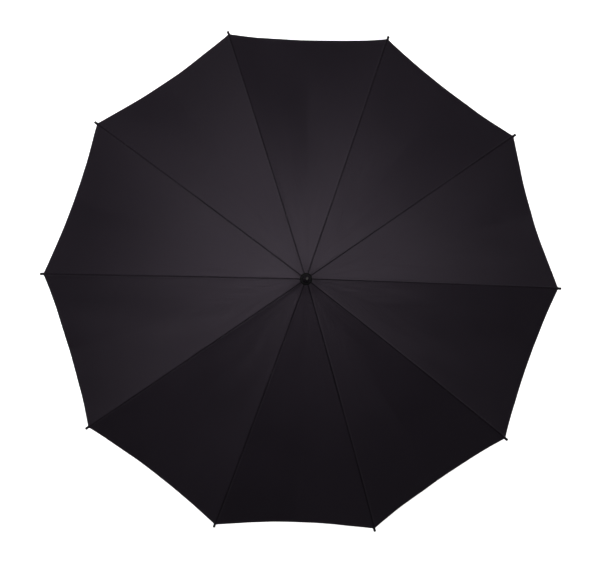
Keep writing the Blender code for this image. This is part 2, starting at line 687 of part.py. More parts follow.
def make_ribs_and_canopy(fibreglass, dark_steel, tip_plastic, fabric, snap_metal):
    rib_mesh = make_rib_mesh()
    stretcher_mesh = make_stretcher_mesh()
    tip_mesh = make_tip_mesh()
    gore_mesh = make_gore_mesh(fabric)
    for mesh, finish in ((rib_mesh, fibreglass), (stretcher_mesh, dark_steel), (tip_mesh, tip_plastic)):
        mesh.materials.clear()
        mesh.materials.append(finish)
    for k in range(RIBS):
        number = f"{k + 1:02d}"
        azimuth = k * STEP
        place = (CROWN_WIRE_RING_R * cos(azimuth), CROWN_WIRE_RING_R * sin(azimuth), CROWN_Z)
        hinge = empty_at("rib_hinge_" + number, place, azimuth)
        link("rib_" + number, rib_mesh).parent = hinge
        link("rib_tip_" + number, tip_mesh).parent = hinge
        gore = link("canopy_gore_" + number, gore_mesh)
        gore.parent = hinge
        thick = gore.modifiers.new("thickness", "SOLIDIFY")
        thick.thickness = CANOPY_THICK
        thick.offset = 1.0
        stretcher = link("stretcher_" + number, stretcher_mesh)
        stretcher.parent = hinge
        stretcher.location = (PIVOT_X - CROWN_WIRE_RING_R, 0, PIVOT_DZ)
        stretcher.rotation_euler = (0, pi - STRETCHER_ANGLE, 0)
        if k + 1 == STRAP_RIB:
            make_strap(fabric, snap_metal, hinge)


clear_scene()
FABRIC = material("black_fabric", (0.028, 0.024, 0.030), 0.75)
FIBREGLASS = material("black_fibreglass", (0.012, 0.012, 0.013), 0.35)
PLASTIC = material("black_plastic", (0.015, 0.015, 0.016), 0.40)
FOAM = material("foam_rubber", (0.020, 0.020, 0.021), 0.85)
SHAFT_PAINT = material("shaft_paint", (0.020, 0.020, 0.022), 0.30, 0.2)
STEEL = material("bright_steel", (0.55, 0.55, 0.56), 0.30, 1.0)
BLACK_STEEL = material("blackened_steel", (0.030, 0.030, 0.032), 0.38, 0.7)
FELT = material("felt", (0.010, 0.010, 0.010), 0.95)

make_handle(FOAM, PLASTIC)
make_shaft(SHAFT_PAINT, STEEL)
make_crown(PLASTIC, STEEL, FELT)
make_cap_and_ferrule(PLASTIC, BLACK_STEEL)
make_runner(PLASTIC, STEEL, empty_at("runner_path", (0, 0, RUNNER_Z)))
make_ribs_and_canopy(FIBREGLASS, BLACK_STEEL, PLASTIC, FABRIC, STEEL)

print(f"overall {OVERALL:.5f} m, stretcher {STRETCHER_LENGTH:.5f} m at {degrees(STRETCHER_ANGLE):.3f} deg")
print(f"to close: runner {TRAVEL:.5f} m, rib {degrees(RIB_TURN):.4f} deg, "
      f"stretcher {degrees(STRETCHER_TURN):.4f} deg the other way")
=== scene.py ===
from math import cos, pi, radians, sin

import bmesh
import bpy
import numpy as np
from mathutils import Matrix, Vector


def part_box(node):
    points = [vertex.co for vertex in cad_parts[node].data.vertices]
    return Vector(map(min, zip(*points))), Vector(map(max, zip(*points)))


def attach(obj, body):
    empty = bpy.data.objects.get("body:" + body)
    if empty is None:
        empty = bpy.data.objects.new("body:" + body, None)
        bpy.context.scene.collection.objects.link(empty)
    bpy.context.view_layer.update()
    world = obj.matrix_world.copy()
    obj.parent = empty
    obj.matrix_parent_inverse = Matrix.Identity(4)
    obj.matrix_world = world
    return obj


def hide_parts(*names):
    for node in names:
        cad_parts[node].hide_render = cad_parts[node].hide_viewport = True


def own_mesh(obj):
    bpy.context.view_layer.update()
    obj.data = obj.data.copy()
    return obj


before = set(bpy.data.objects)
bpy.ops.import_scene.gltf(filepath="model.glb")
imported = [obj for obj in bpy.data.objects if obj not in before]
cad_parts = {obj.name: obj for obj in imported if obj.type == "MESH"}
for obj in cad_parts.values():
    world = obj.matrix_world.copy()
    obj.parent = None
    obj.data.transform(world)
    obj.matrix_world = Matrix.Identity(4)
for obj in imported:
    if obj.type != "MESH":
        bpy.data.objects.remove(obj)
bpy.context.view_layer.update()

# Camera, looking down on the open canopy, two degrees off the shaft's line, from far enough away
# that the near crown is hardly larger than the rib ends.
LOOK_DISTANCE = 7.0
LOOK_WIDTH = 1.499  # how much of the rib ends' level fits across the view
LOOK_OFF = radians(2.0)  # off the shaft's line
LEAN_LEFT = 0.907  # the parts of that lean to the view's left and down
LEAN_DOWN = 0.422
LOOK_TURN = radians(1.6)  # about the shaft
AIM_LEFT = 0.0033
AIM_DOWN = 0.0030
LOOK_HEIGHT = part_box("rib_tip_01")[0].z
SENSOR = 36.0


def linked(name, data):
    """A new object in the scene that holds the data."""
    made = bpy.data.objects.new(name, data)
    bpy.context.scene.collection.objects.link(made)
    return made


view_right = Vector((cos(LOOK_TURN), sin(LOOK_TURN), 0))
view_up = Vector((-sin(LOOK_TURN), cos(LOOK_TURN), 0))
aim = -AIM_LEFT * view_right - AIM_DOWN * view_up + Vector((0, 0, LOOK_HEIGHT))
lean = -(LEAN_LEFT * view_right + LEAN_DOWN * view_up) * sin(LOOK_OFF)
back = (lean + Vector((0, 0, cos(LOOK_OFF)))).normalized()
right = view_up.cross(back).normalized()
camera = linked("camera", bpy.data.cameras.new("camera"))
camera.matrix_world = (Matrix.Translation(aim + back * LOOK_DISTANCE)
                       @ Matrix((right, back.cross(right), back)).transposed().to_4x4())
camera.data.sensor_width = SENSOR
camera.data.lens = SENSOR * LOOK_DISTANCE / LOOK_WIDTH
camera.data.clip_end = 100.0
bpy.context.scene.camera = camera
bpy.context.scene.view_settings.view_transform = "Standard"


# Floor and light: a plain white floor that is lit well enough to stay white, soft round lights
# high around the canopy, strongest at the left and upper left, and dim surroundings.
class Value:
    """One output of a shader node. Arithmetic on it adds Math nodes to the same finish."""

    def __init__(self, finish, socket):
        self.finish = finish
        self.socket = socket

    def joined(self, operation, first, second=0.0):
        return self.finish.node("ShaderNodeMath", {"operation": operation}, {0: first, 1: second})

    def __add__(self, other):
        return self.joined("ADD", self, other)

    def __sub__(self, other):
        return self.joined("SUBTRACT", self, other)

    def __rsub__(self, other):
        return self.joined("SUBTRACT", other, self)

    def __mul__(self, other):
        return self.joined("MULTIPLY", self, other)

    def __mod__(self, other):
        return self.joined("FLOORED_MODULO", self, other)

    def __abs__(self):
        return self.joined("ABSOLUTE", self)

    def sine(self):
        return self.joined("SINE", self)

    def fades(self, start, end):
        """1 where the value is start, 0 where it is end, with a smooth step between them."""
        settings = {"interpolation_type": "SMOOTHSTEP"}
        sockets = {0: self, 1: start, 2: end, 3: 1.0, 4: 0.0}
        return self.finish.node("ShaderNodeMapRange", settings, sockets)

    __radd__ = __add__
    __rmul__ = __mul__


class Finish:
    """A material whose Principled shader takes constants at once and patterns from feed()."""

    def __init__(self, name, colour, roughness, constants=None, world=False):
        if world:
            self.data = bpy.data.worlds.new(name)
            self.data.use_nodes = True
            self.tree = self.data.node_tree
            self.shader = self.tree.nodes["Background"]
            return
        self.data = bpy.data.materials.new(name)
        self.data.use_nodes = True
        self.tree = self.data.node_tree
        self.shader = self.tree.nodes["Principled BSDF"]
        self.feed("Base Color", (*colour, 1.0))
        self.feed("Roughness", roughness)
        for socket, value in (constants or {}).items():
            self.feed(socket, value)

    def node(self, kind, settings=None, sockets=None, output=0):
        """One output of a new node, after its settings and then its sockets are set."""
        made = self.tree.nodes.new(kind)
        for key, value in (settings or {}).items():
            setattr(made, key, value)
        for key, value in (sockets or {}).items():
            self.put(made.inputs[key], value)
        return Value(self, made.outputs[output])

    def put(self, socket, value):
        if isinstance(value, Value):
            self.tree.links.new(value.socket, socket)
        else:
            socket.default_value = value

    def feed(self, socket, value):
        self.put(self.shader.inputs[socket], value)

    def place(self, scale=(1.0, 1.0, 1.0)):
        """Object coordinates, stretched by scale."""
        where = self.node("ShaderNodeTexCoord", output=3)
        return self.node("ShaderNodeMapping", sockets={"Vector": where, "Scale": scale})

    def noise(self, vector, scale, detail=3.0):
        sockets = {"Vector": vector, "Scale": scale, "Detail": detail}
        return self.node("ShaderNodeTexNoise", sockets=sockets)

    def parts(self, vector):
        """The three parts of a vector, each a Value."""
        split = self.node("ShaderNodeSeparateXYZ", sockets={0: vector}).socket.node
        return [Value(self, socket) for socket in split.outputs]

    def tint(self, factor, first, second):
        """The first colour where factor is 0 and the second where it is 1."""
        return self.node("ShaderNodeMix", {"data_type": "RGBA"},
                         {0: factor, 6: (*first, 1.0), 7: (*second, 1.0)}, output=2)

    def grains(self, scale, detail=3.0):
        """Noise in the piece's own place."""
        return self.noise(self.place(), scale, detail)

    def shade(self, amount, start, end):
        """Base Color goes from start to end as the amount goes from 0 to 1."""
        self.feed("Base Color", self.tint(amount, start, end))

    def bump(self, height, distance):
        """Height times distance, in metres, becomes relief."""
        sockets = {"Height": height, "Distance": distance, "Strength": 1.0}
        self.feed("Normal", self.node("ShaderNodeBump", sockets=sockets))


def grid_faces(rows, columns):
    """Quads between neighbouring points of a grid stored row by row."""
    first = np.arange(rows - 1)[:, None] * columns + np.arange(columns - 1)[None, :]
    return np.stack([first, first + columns, first + columns + 1, first + 1], -1).reshape(-1, 4)


def stage_piece(name, points, faces, finish):
    """A floor or backdrop, which mirrors don't show and which isn't part of the umbrella."""
    mesh = bpy.data.meshes.new(name)
    mesh.from_pydata(points, [], faces)
    mesh.materials.append(finish.data)
    made = linked(name, mesh)
    made.visible_glossy = False
    return made


FLOOR_HALF = 30.0
FLOOR_GLOW = 0.90
NEAR = 1.5  # from the shaft, where the glow starts to grow
FAR = 9.0  # where it is FAR_GLOW times as strong
FAR_GLOW = 1.1
paper = Finish("pale_floor", (0.86, 0.86, 0.86), 0.9, {"Emission Strength": FLOOR_GLOW})
paper.feed("Roughness", paper.grains(3.0) * 0.1 + 0.85)
off = paper.node("ShaderNodeVectorMath", {"operation": "LENGTH"}, {0: paper.place()}, output=1)
paper.feed("Emission Color", paper.tint(off.fades(FAR, NEAR), (1.0, 1.0, 1.0), (FAR_GLOW,) * 3))
corners = [(x * FLOOR_HALF, y * FLOOR_HALF, 0) for x, y in ((-1, -1), (1, -1), (1, 1), (-1, 1))]
stage_piece("floor", corners, [(0, 1, 2, 3)], paper)

DOME_R = 29.0
DOME_FOOT = -0.05  # elevation, in radians, just under the floor
DOME_AROUND = 65
DOME_UP = 17
# The backdrop is a dome round the floor, seen from inside.
a, b = np.meshgrid(np.linspace(0, 2 * pi, DOME_AROUND), np.linspace(DOME_FOOT, pi / 2, DOME_UP),
                   indexing="ij")
dome_points = DOME_R * np.stack([np.cos(a) * np.cos(b), np.sin(a) * np.cos(b), np.sin(b)], -1)
dome_faces = grid_faces(DOME_AROUND, DOME_UP)[:, ::-1]
dome = stage_piece("backdrop", dome_points.reshape(-1, 3).tolist(), dome_faces.tolist(), paper)
dome.visible_diffuse = False
dome.visible_shadow = False

ZENITH = (0.030, 0.029, 0.031)
HORIZON = (0.055, 0.055, 0.055)
sky = Finish("dim_surroundings", None, None, world=True)
sky_height = sky.parts(sky.node("ShaderNodeTexCoord", output=0))[2]
sky.feed("Color", sky.tint(sky_height.fades(0.02, 0.30), ZENITH, HORIZON))
bpy.context.scene.world = sky.data

LAMP_WIDTH = 1.7
LAMP_HEIGHT = 4.1
LAMP_AIM = Vector((0, 0, 0.8))
UNDER_WIDTH = 1.0
UNDER_HEIGHT = 0.004


def soft_light(name, place, width, power):
    """A round area light of the given width in metres, turned to face the canopy."""
    data = bpy.data.lights.new(name, "AREA")
    data.shape = "DISK"
    data.size = width
    data.energy = power
    lamp = linked(name, data)
    lamp.location = place
    lamp.rotation_euler = (LAMP_AIM - Vector(place)).to_track_quat("-Z", "Y").to_euler()
    return lamp


for name, x, y, power in (("left", -2.5, 0.0, 60), ("right", 2.5, 0.0, 26), ("upper_right", 2.0, 1.5, 34),
                          ("upper_left", -0.8, 2.4, 52), ("lower_left", -0.8, -2.4, 7)):
    soft_light(name, (x, y, LAMP_HEIGHT), LAMP_WIDTH, power)
under = soft_light("under", (0, 0, UNDER_HEIGHT), UNDER_WIDTH, 14)
under.visible_camera = False

# Canopy: ten gores of black plain-woven polyester, sewn rib to rib and pulled hollow between them,
# hemmed at the edge. It is made as ten panels, each the cloth on both sides of one rib and riding on it.
RIBS = 10
STEP = 2 * pi / RIBS
SLOPE_IN = radians(17)  # of a rib at the crown, below horizontal
SLOPE_OUT = radians(39)  # at its tip
RIB_LENGTH = 0.7275
HEM_AT = 0.7142  # along the rib
CLOTH_LIFT = 0.0036  # rib's centre line to the cloth
CROWN_RISE = 0.0036  # how far the cap's washer lifts the cloth's middle
CROWN_RISE_FROM = 0.0085
CROWN_RISE_SPAN = 0.022
HOLLOW = 0.55  # curvature across a gore, per metre
HEM_CUT = 0.0042  # how far the hem's middle is cut back
SIDE_TURN = 0.004  # the share of a gore over which the two gores' slopes meet
CLOTH_TOP = 0.0006
CLOTH_FOOT = 0.0002
WAVE = 0.0009  # height of the slack cloth's waves
SEAM_WIDTH = 0.0048  # of the seam allowance, laid to one side and stitched down
SEAM_RISE = 0.00045
SEAM_LINE = 0.0002  # off the rib's plane
SEAM_GROOVE = 0.0009  # where the two gores turn down into the seam
GROOVE_HALF = 0.0009
HEM_WIDTH = 0.0075
HEM_RISE = 0.00025
HEM_DROP = 0.00045
PANEL_COLUMNS = 26
PANEL_ROWS = 74
GORE_FLAT = (0.393, 0.717)  # hem width and height of one gore as cut
wire_low, wire_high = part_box("crown_wire")
HINGE_Z = (wire_low.z + wire_high.z) / 2
WIRE_R = (wire_high.z - wire_low.z) / 2
HINGE_R = wire_high.x - WIRE_R
BEND = (SLOPE_OUT - SLOPE_IN) / RIB_LENGTH


def rib_line(s):
    """Distance from the shaft's axis, height and slope of a rib's centre line, s along it.

    The slope grows evenly with s, so the line is an arc; before the hinge it runs on straight.
    """
    inner = np.minimum(s, 0)
    slope = SLOPE_IN + BEND * np.maximum(s, 0)
    x = HINGE_R + (np.sin(slope) - sin(SLOPE_IN)) / BEND + inner * cos(SLOPE_IN)
    z = HINGE_Z - (cos(SLOPE_IN) - np.cos(slope)) / BEND - inner * sin(SLOPE_IN)
    return x, z, slope


def cloth_point(s, t, out):
    """Points of the cloth beside the rib on +X, t = -0.5 to 0.5 being the middles of its two gores.

    Straight from rib to rib, then pressed in along the gore's normal by the hollow times the width
    squared over 8 times 4t(1-t), and cut back at the hem by the same 4t(1-t).
    """
    along = np.abs(t)
    belly = 4 * along * (1 - along)
    s = s - HEM_CUT * belly * (np.maximum(s, 0) / HEM_AT) ** 6
    x, z, slope = rib_line(s)
    x = x + CLOTH_LIFT * np.sin(slope)
    lifted = CROWN_RISE * np.exp(-((x - CROWN_RISE_FROM) / CROWN_RISE_SPAN) ** 2)
    z = z + CLOTH_LIFT * np.cos(slope) + lifted
    width = 2 * x * sin(STEP / 2)
    side = np.clip(t / SIDE_TURN, -1, 1)
    point = np.stack([x * (1 - along) + x * cos(STEP) * along, x * sin(STEP) * t, z], -1)
    normal = np.stack([np.sin(slope) * cos(STEP / 2), side * np.sin(slope) * sin(STEP / 2),
                       np.cos(slope)], -1)
    return point + normal * (out - HOLLOW * width ** 2 / 8 * belly)[..., None]


def step_at(value, edge, soft):
    """0 below the edge and 1 above it, as a logistic curve of that softness."""
    return 1 / (1 + np.exp(-np.clip((value - edge) / soft, -40, 40)))


def slack(s, t, azimuth):
    """Shallow waves in the cloth, sums of cosines that close round the canopy and vanish at ribs."""
    angle = azimuth + t * STEP
    share = np.clip(s / HEM_AT, 0, 1)
    waves = 0
    rng = np.random.default_rng(41)
    for around, length, size in ((7, 1.3, 0.9), (13, 0.7, 0.8), (23, 1.9, 0.5), (37, 0.6, 0.28),
                                 (71, 1.1, 0.13)):
        phase = rng.uniform(0, 2 * pi, 2)
        waves = waves + size * np.cos(around * angle + length * 2 * pi * share + phase[0])
        waves = waves + size * 0.7 * np.cos(around * angle - length * 2.6 * pi * share + phase[1])
    return WAVE * waves * 4 * np.abs(t) * (1 - np.abs(t)) * share ** 0.7


def turned(shape, k):
    """(points, faces) turned about the shaft to rib k, counted from 0."""
    c, s = cos(k * STEP), sin(k * STEP)
    x, y, z = shape[0].T
    return np.stack([x * c - y * s, x * s + y * c, z], -1), shape[1]


def thick_sheet(top, bottom):
    """One closed shape from two grids of the same size, joined by walls round their edge."""
    rows, columns = top.shape[:2]
    count = rows * columns
    index = np.arange(count).reshape(rows, columns)
    faces = grid_faces(rows, columns)
    edge = np.concatenate([index[0, :-1], index[:-1, -1], index[-1, :0:-1], index[:0:-1, 0]])
    after = np.roll(edge, -1)
    walls = np.stack([edge, after, after + count, edge + count], -1)
    points = np.concatenate([top.reshape(-1, 3), bottom.reshape(-1, 3)])
    return points, np.concatenate([faces, faces[:, ::-1] + count, walls])


def solid(name, shape, finish, uv=None, crease=32):
    """Makes the object from (points, faces): doubles merged, faces outwards, edges over crease sharp."""
    points, faces = shape
    mesh = bpy.data.meshes.new(name)
    mesh.vertices.add(len(points))
    mesh.vertices.foreach_set("co", np.ascontiguousarray(points, np.float32).ravel())
    mesh.loops.add(faces.size)
    mesh.loops.foreach_set("vertex_index", np.ascontiguousarray(faces, np.int32).ravel())
    mesh.polygons.add(len(faces))
    mesh.polygons.foreach_set("loop_start", np.arange(len(faces), dtype=np.int32) * faces.shape[1])
    mesh.update(calc_edges=True)
    if uv is not None:
        layer = mesh.uv_layers.new(name="cloth")
        layer.data.foreach_set("uv", np.ascontiguousarray(uv[faces.ravel()], np.float32).ravel())
    bm = bmesh.new()
    bm.from_mesh(mesh)
    bmesh.ops.remove_doubles(bm, verts=bm.verts, dist=1e-6)
    bmesh.ops.dissolve_degenerate(bm, edges=bm.edges, dist=1e-7)
    bmesh.ops.recalc_face_normals(bm, faces=bm.faces)
    bm.to_mesh(mesh)
    bm.free()
    mesh.shade_smooth()
    mesh.set_sharp_from_angle(angle=radians(crease))
    mesh.materials.append(finish.data)
    return linked(name, mesh)


def fit(piece, body, slot, *nodes):
    """The piece rides on the body and stands for the nodes, which are hidden. The slot is not used."""
    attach(piece, body)
    if nodes:
        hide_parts(*nodes)
    return piece


NUMBERS = [f"{k + 1:02d}" for k in range(RIBS)]
WEAVE = 2 * pi / 0.0006  # one thread over and one under
PUCKER = 2 * pi / 0.013  # one gather of the cloth at a seam
CLOTH_BLACK = (0.0034, 0.0022, 0.0042)
CLOTH_PALE = (0.0068, 0.0045, 0.0080)
cloth = Finish("black_umbrella_cloth", (0.0120, 0.0098, 0.0135), 0.5, {
    "Specular IOR Level": 0.5, "Specular Tint": (0.97, 0.84, 1.0, 1.0),
    "Sheen Weight": 0.02, "Sheen Roughness": 0.45, "Sheen Tint": (0.82, 0.76, 0.88, 1.0)})
cloth_uv = cloth.node("ShaderNodeUVMap", {"uv_map": "cloth"})
across, along, _ = cloth.parts(cloth_uv)
from_crown = along % 2.0
threads = (across * WEAVE).sine() * (along * WEAVE).sine()
drawn_out = cloth.node("ShaderNodeMapping", sockets={"Vector": cloth_uv, "Scale": (60, 6, 1)})
streaks = cloth.noise(drawn_out, 1.0)
broad = cloth.grains(5.0)
near_seam = abs(across).fades(0.002, 0.022)
pucker = (along * PUCKER + streaks * 9.0 + broad * 14.0).sine() * near_seam * broad.fades(0.62, 0.40)
# Mask of the seam's groove, where the painted shade goes.
groove_shade = abs(across - SEAM_LINE).fades(0.0006, 0.0020)
creases = (streaks - 0.5) * (from_crown.fades(0.05, 0.45) * 0.8 + 0.25)
cloth.bump(pucker * 0.11 + creases * 1.1 + threads * 0.045, 0.0011)
cloth.shade(broad * 0.8 + streaks * 0.3, CLOTH_BLACK, CLOTH_PALE)
cloth.feed("Roughness", broad * 0.10 + threads * 0.03 + 0.45)
# Painted shade: the seam's groove turns to near-black metal, which gives back no sheen, so it shows as the
# dark line of the seam's shadow.
cloth.feed("Metallic", groove_shade * (streaks * 0.7 + 0.25))


def panel(k):
    """The cloth on both sides of rib k, folded under at the hem and raised along the seam."""
    edge = HEM_AT - np.array([0.0100, 0.0084, 0.0078, 0.0072, 0.0050, 0.0020, 0.0004, 0.0])
    s = np.concatenate([0.001 + (HEM_AT - 0.012) * np.linspace(0, 1, PANEL_ROWS) ** 1.15, edge])
    t = np.linspace(-1, 1, 2 * PANEL_COLUMNS + 1)
    t = 0.5 * np.sign(t) * np.abs(t) ** 2.8
    s, t = np.meshgrid(s, t, indexing="ij")
    beside = t * 2 * rib_line(s)[0] * sin(STEP / 2)
    raised = step_at(beside, 0.0005, 0.00012) - step_at(beside, SEAM_WIDTH, 0.00025)
    relief = SEAM_RISE * raised - SEAM_GROOVE * np.exp(-((beside - SEAM_LINE) / GROOVE_HALF) ** 2)
    hem = step_at(s, HEM_AT - HEM_WIDTH, 0.0002)
    wave = slack(s, t, k * STEP)
    top = cloth_point(s, t, CLOTH_TOP + relief + HEM_RISE * hem + wave)
    bottom = cloth_point(s, t, CLOTH_FOOT - HEM_DROP * hem + wave + np.minimum(relief, 0))
    uv = np.stack([beside, s + 2.0 * k], -1).reshape(-1, 2)
    return turned(thick_sheet(top, bottom), k), np.concatenate([uv, uv])


def folds(piece):
    """Gives the piece its own copy of its mesh."""
    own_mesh(piece)


for k, number in enumerate(NUMBERS):
    shape, uv = panel(k)
    piece = solid("canopy_" + number, shape, cloth, uv, crease=9)
    fit(piece, "rib_" + number, "fabric", "canopy_gore_" + number)
    folds(piece)

# Thread: every seam and hem is stitched with black polyester, and each seam is tied to its rib in
# four places and to the tip with a few turns of the same thread.
STITCH = 0.0024
STITCH_PITCH = 0.0034
THREAD_R = 0.00020
TIE_AT = (0.155, 0.240, 0.470, 0.600)  # along the rib
TURNS = (-0.0006, 0.0, 0.0006)  # of thread, side by side in a tie

thread = Finish("black_thread", (0.030, 0.026, 0.034), 0.6, {"Sheen Weight": 0.3})
twist = thread.place()
thread.bump(thread.noise(twist, 2500.0), 0.0001)
thread.feed("Roughness", thread.noise(twist, 400.0) * 0.2 + 0.5)


def joined(shapes):
    """Several (points, faces) as one."""
    starts = np.cumsum([0] + [len(points) for points, _ in shapes[:-1]])
    return (np.concatenate([points for points, _ in shapes]),
            np.concatenate([faces + start for (_, faces), start in zip(shapes, starts)]))


def stitches(centre, ahead, up, length, radius):
    """A short four-sided spindle at each centre, along ahead: full in its middle, pointed at its ends."""
    side = np.cross(ahead, up)
    a = np.array([-0.5, -0.34, 0.34, 0.5]) * length
    r = np.array([0.0, 1.0, 1.0, 0.0]) * radius
    angle = np.arange(5) * pi / 2
    rise = radius * np.array([-0.8, 0.2, 0.2, -0.8])
    points = (centre[:, None, None] + ahead[:, None, None] * a[None, :, None, None]
              + side[:, None, None] * (r[:, None] * np.cos(angle))[None, ..., None]
              + up[:, None, None] * (r[:, None] * np.sin(angle) + rise[:, None])[None, ..., None])
    faces = grid_faces(4, 5)
    many = faces[None] + (np.arange(len(centre)) * 20)[:, None, None]
    return points.reshape(-1, 3), many.reshape(-1, 4)


def unit_rows(vectors):
    """Each vector over its own length."""
    return vectors / np.linalg.norm(vectors, axis=-1, keepdims=True)


def loop(centre, reach, rise, radius):
    """A thin ring of the given radius whose centre line is centre + cos(a) reach + sin(a) rise."""
    a, b = np.meshgrid(np.linspace(0, 2 * pi, 17), np.linspace(0, 2 * pi, 6), indexing="ij")
    out = np.cos(a)[..., None] * reach + np.sin(a)[..., None] * rise
    flat = unit_rows(np.cross(reach, rise))
    unit = unit_rows(out)
    points = centre + out + radius * (np.cos(b)[..., None] * unit + np.sin(b)[..., None] * flat)
    return points.reshape(-1, 3), grid_faces(17, 6)


def rib_point(s):
    """Points of the first rib's centre line, and the ways along it and up from it by its slope."""
    x, z, slope = rib_line(s)
    level, steep = np.cos(slope), np.sin(slope)
    return [np.stack(rows, -1) for rows in ([x, 0 * x, z], [level, 0 * x, -steep], [steep, 0 * x, level])]


def seam_and_hem_thread(k):
    """Stitches along the seam's raised side and along the hem, and the ties round the rib."""
    s = np.arange(0.03, HEM_AT - 0.004, STITCH_PITCH)
    t = (SEAM_WIDTH - 0.0011) / (2 * rib_line(s)[0] * sin(STEP / 2))
    height = np.full_like(s, CLOTH_TOP + SEAM_RISE) + slack(s, t, k * STEP)
    seam = cloth_point(s, t, height)
    up = unit_rows(cloth_point(s, t, height + 0.001) - seam)
    ahead = unit_rows(cloth_point(s + 0.001, t, height) - seam)
    shapes = [stitches(seam, ahead, up, STITCH, THREAD_R)]
    count = int(GORE_FLAT[0] / STITCH_PITCH)
    t = (np.arange(count) + 0.5) / count - 0.5
    s = np.full(count, HEM_AT - HEM_WIDTH + 0.0014)
    for level in (CLOTH_TOP + HEM_RISE, CLOTH_FOOT - HEM_DROP):
        height = level + slack(s, t, k * STEP)
        hem = cloth_point(s, t, height)
        up = unit_rows(cloth_point(s, t, height + 0.001) - hem)
        ahead = unit_rows(cloth_point(s, t + 0.001, height) - hem)
        shapes.append(stitches(hem, ahead, up, STITCH, THREAD_R))
    for at in TIE_AT:
        for turn in TURNS:
            centre, _, rise = rib_point(at + turn)
            shapes.append(loop(centre + rise * 0.0006, np.array([0, 0.0026, 0]), rise * 0.0030, 0.00022))
    return turned(joined(shapes), k)


for k, number in enumerate(NUMBERS):
    piece = solid("thread_" + number, seam_and_hem_thread(k), thread, crease=80)
    fit(piece, "rib_" + number, "fabric")
    folds(piece)

# Ribs: solid rods of pultruded fibreglass, bent by the stretched cloth. Each has a pressed steel
# eye crimped on its crown end and a steel sleeve with a tongue where its stretcher pivots.
RIB_R = 0.0020
ROD_FROM = 0.006
ROD_TO = 0.7230
BRACKET_AT = 0.330
BRACKET_LENGTH = 0.016
BRACKET_R = 0.0028
BRACKET_DROP = 0.0070
EYE_R = 0.0025
EYE_HALF = 0.0012
RIVET_R = 0.0009

rod_finish = Finish("black_fibreglass", (0.012, 0.012, 0.013), 0.28, {"Coat Roughness": 0.15})
rod_uv = rod_finish.node("ShaderNodeUVMap", {"uv_map": "cloth"})
fibre_uv = rod_finish.node("ShaderNodeMapping", sockets={"Vector": rod_uv, "Scale": (2600, 22, 1)})
fibres = rod_finish.noise(fibre_uv, 1.0)
rod_finish.bump(fibres, 0.00006)
rod_finish.shade(fibres, (0.008, 0.008, 0.009), (0.022, 0.022, 0.024))
rod_finish.feed("Roughness", fibres * 0.25 + 0.2)
rod_finish.feed("Coat Weight", 0.25)

pressed = Finish("blackened_steel", (0.05, 0.05, 0.052), 0.4, {"Metallic": 0.75})
rub = pressed.grains(260.0, 4.0)
pressed.shade(rub.fades(0.70, 0.55), (0.035, 0.035, 0.037), (0.22, 0.22, 0.22))
pressed.feed("Roughness", pressed.grains(900.0) * 0.25 + 0.28)
pressed.bump(pressed.grains(1400.0), 0.00005)

bright = Finish("bright_steel", (0.55, 0.55, 0.56), 0.28, {"Metallic": 1.0})
drawn = bright.noise(bright.place((700.0, 700.0, 90.0)), 1.0)
bright.feed("Roughness", drawn * 0.22 + 0.18)
bright.shade(drawn, (0.44, 0.44, 0.45), (0.62, 0.62, 0.63))
bright.bump(drawn, 0.00003)


def capped(rings, middle):
    """Closed outlines as a skin, with each end drawn in to its own middle point."""
    first, last = np.broadcast_to(middle[0], rings[:1].shape), np.broadcast_to(middle[-1], rings[:1].shape)
    rings = np.concatenate([first, rings, last])
    return rings.reshape(-1, 3), grid_faces(*rings.shape[:2])


def carried(path, side, section):
    """A section carried along a path. section holds, at each path point, a closed outline of
    (sideways, upwards) offsets; upwards is square to the path and to side. Flat ends close it."""
    section = np.broadcast_to(section, (len(path),) + section.shape[-2:])
    ahead = unit_rows(np.gradient(path, axis=0))
    up = unit_rows(np.cross(ahead, np.broadcast_to(side, ahead.shape)))
    rings = path[:, None] + section[..., :1] * np.asarray(side) + section[..., 1:] * up[:, None]
    rings = np.concatenate([rings, rings[:, :1]], 1)
    steps = np.concatenate([[0], np.cumsum(np.linalg.norm(np.diff(path, axis=0), axis=1))])
    round_it = np.linalg.norm(np.diff(rings, axis=1), axis=-1).mean(0)
    around = np.concatenate([[0], np.cumsum(round_it)])
    uv = np.stack(np.meshgrid(steps, around, indexing="ij")[::-1], -1)
    uv = np.concatenate([uv[:1], uv, uv[-1:]])
    return capped(rings, rings[:, :-1].mean(1)), uv.reshape(-1, 2)


def circle(sides):
    """A unit circle as (sideways, upwards) points."""
    a = np.arange(sides) * 2 * pi / sides
    return np.stack([np.cos(a), np.sin(a)], -1)


def box_round(sides):
    """A unit square with round corners: the curve |x|^5 + |y|^5 = 1."""
    c = circle(sides)
    return c / ((np.abs(c) ** 5.0).sum(-1, keepdims=True)) ** (1 / 5.0)


def spun(profile, centre, axis, sides=32):
    """A closed outline of (distance, height) points spun about an axis through centre."""
    axis = np.asarray(axis, float)
    first = unit_rows(np.cross(axis, (0.0, 0.0, 1.0) if abs(axis[2]) < 0.9 else (1.0, 0.0, 0.0)))
    second = np.cross(axis, first)
    profile = np.asarray(profile, float)
    a = np.linspace(0, 2 * pi, sides + 1)
    ring = np.cos(a)[:, None] * first + np.sin(a)[:, None] * second
    points = np.asarray(centre) + profile[:, None, :1] * ring[None] + profile[:, None, 1:] * axis
    return points.reshape(-1, 3), grid_faces(len(profile), sides + 1)


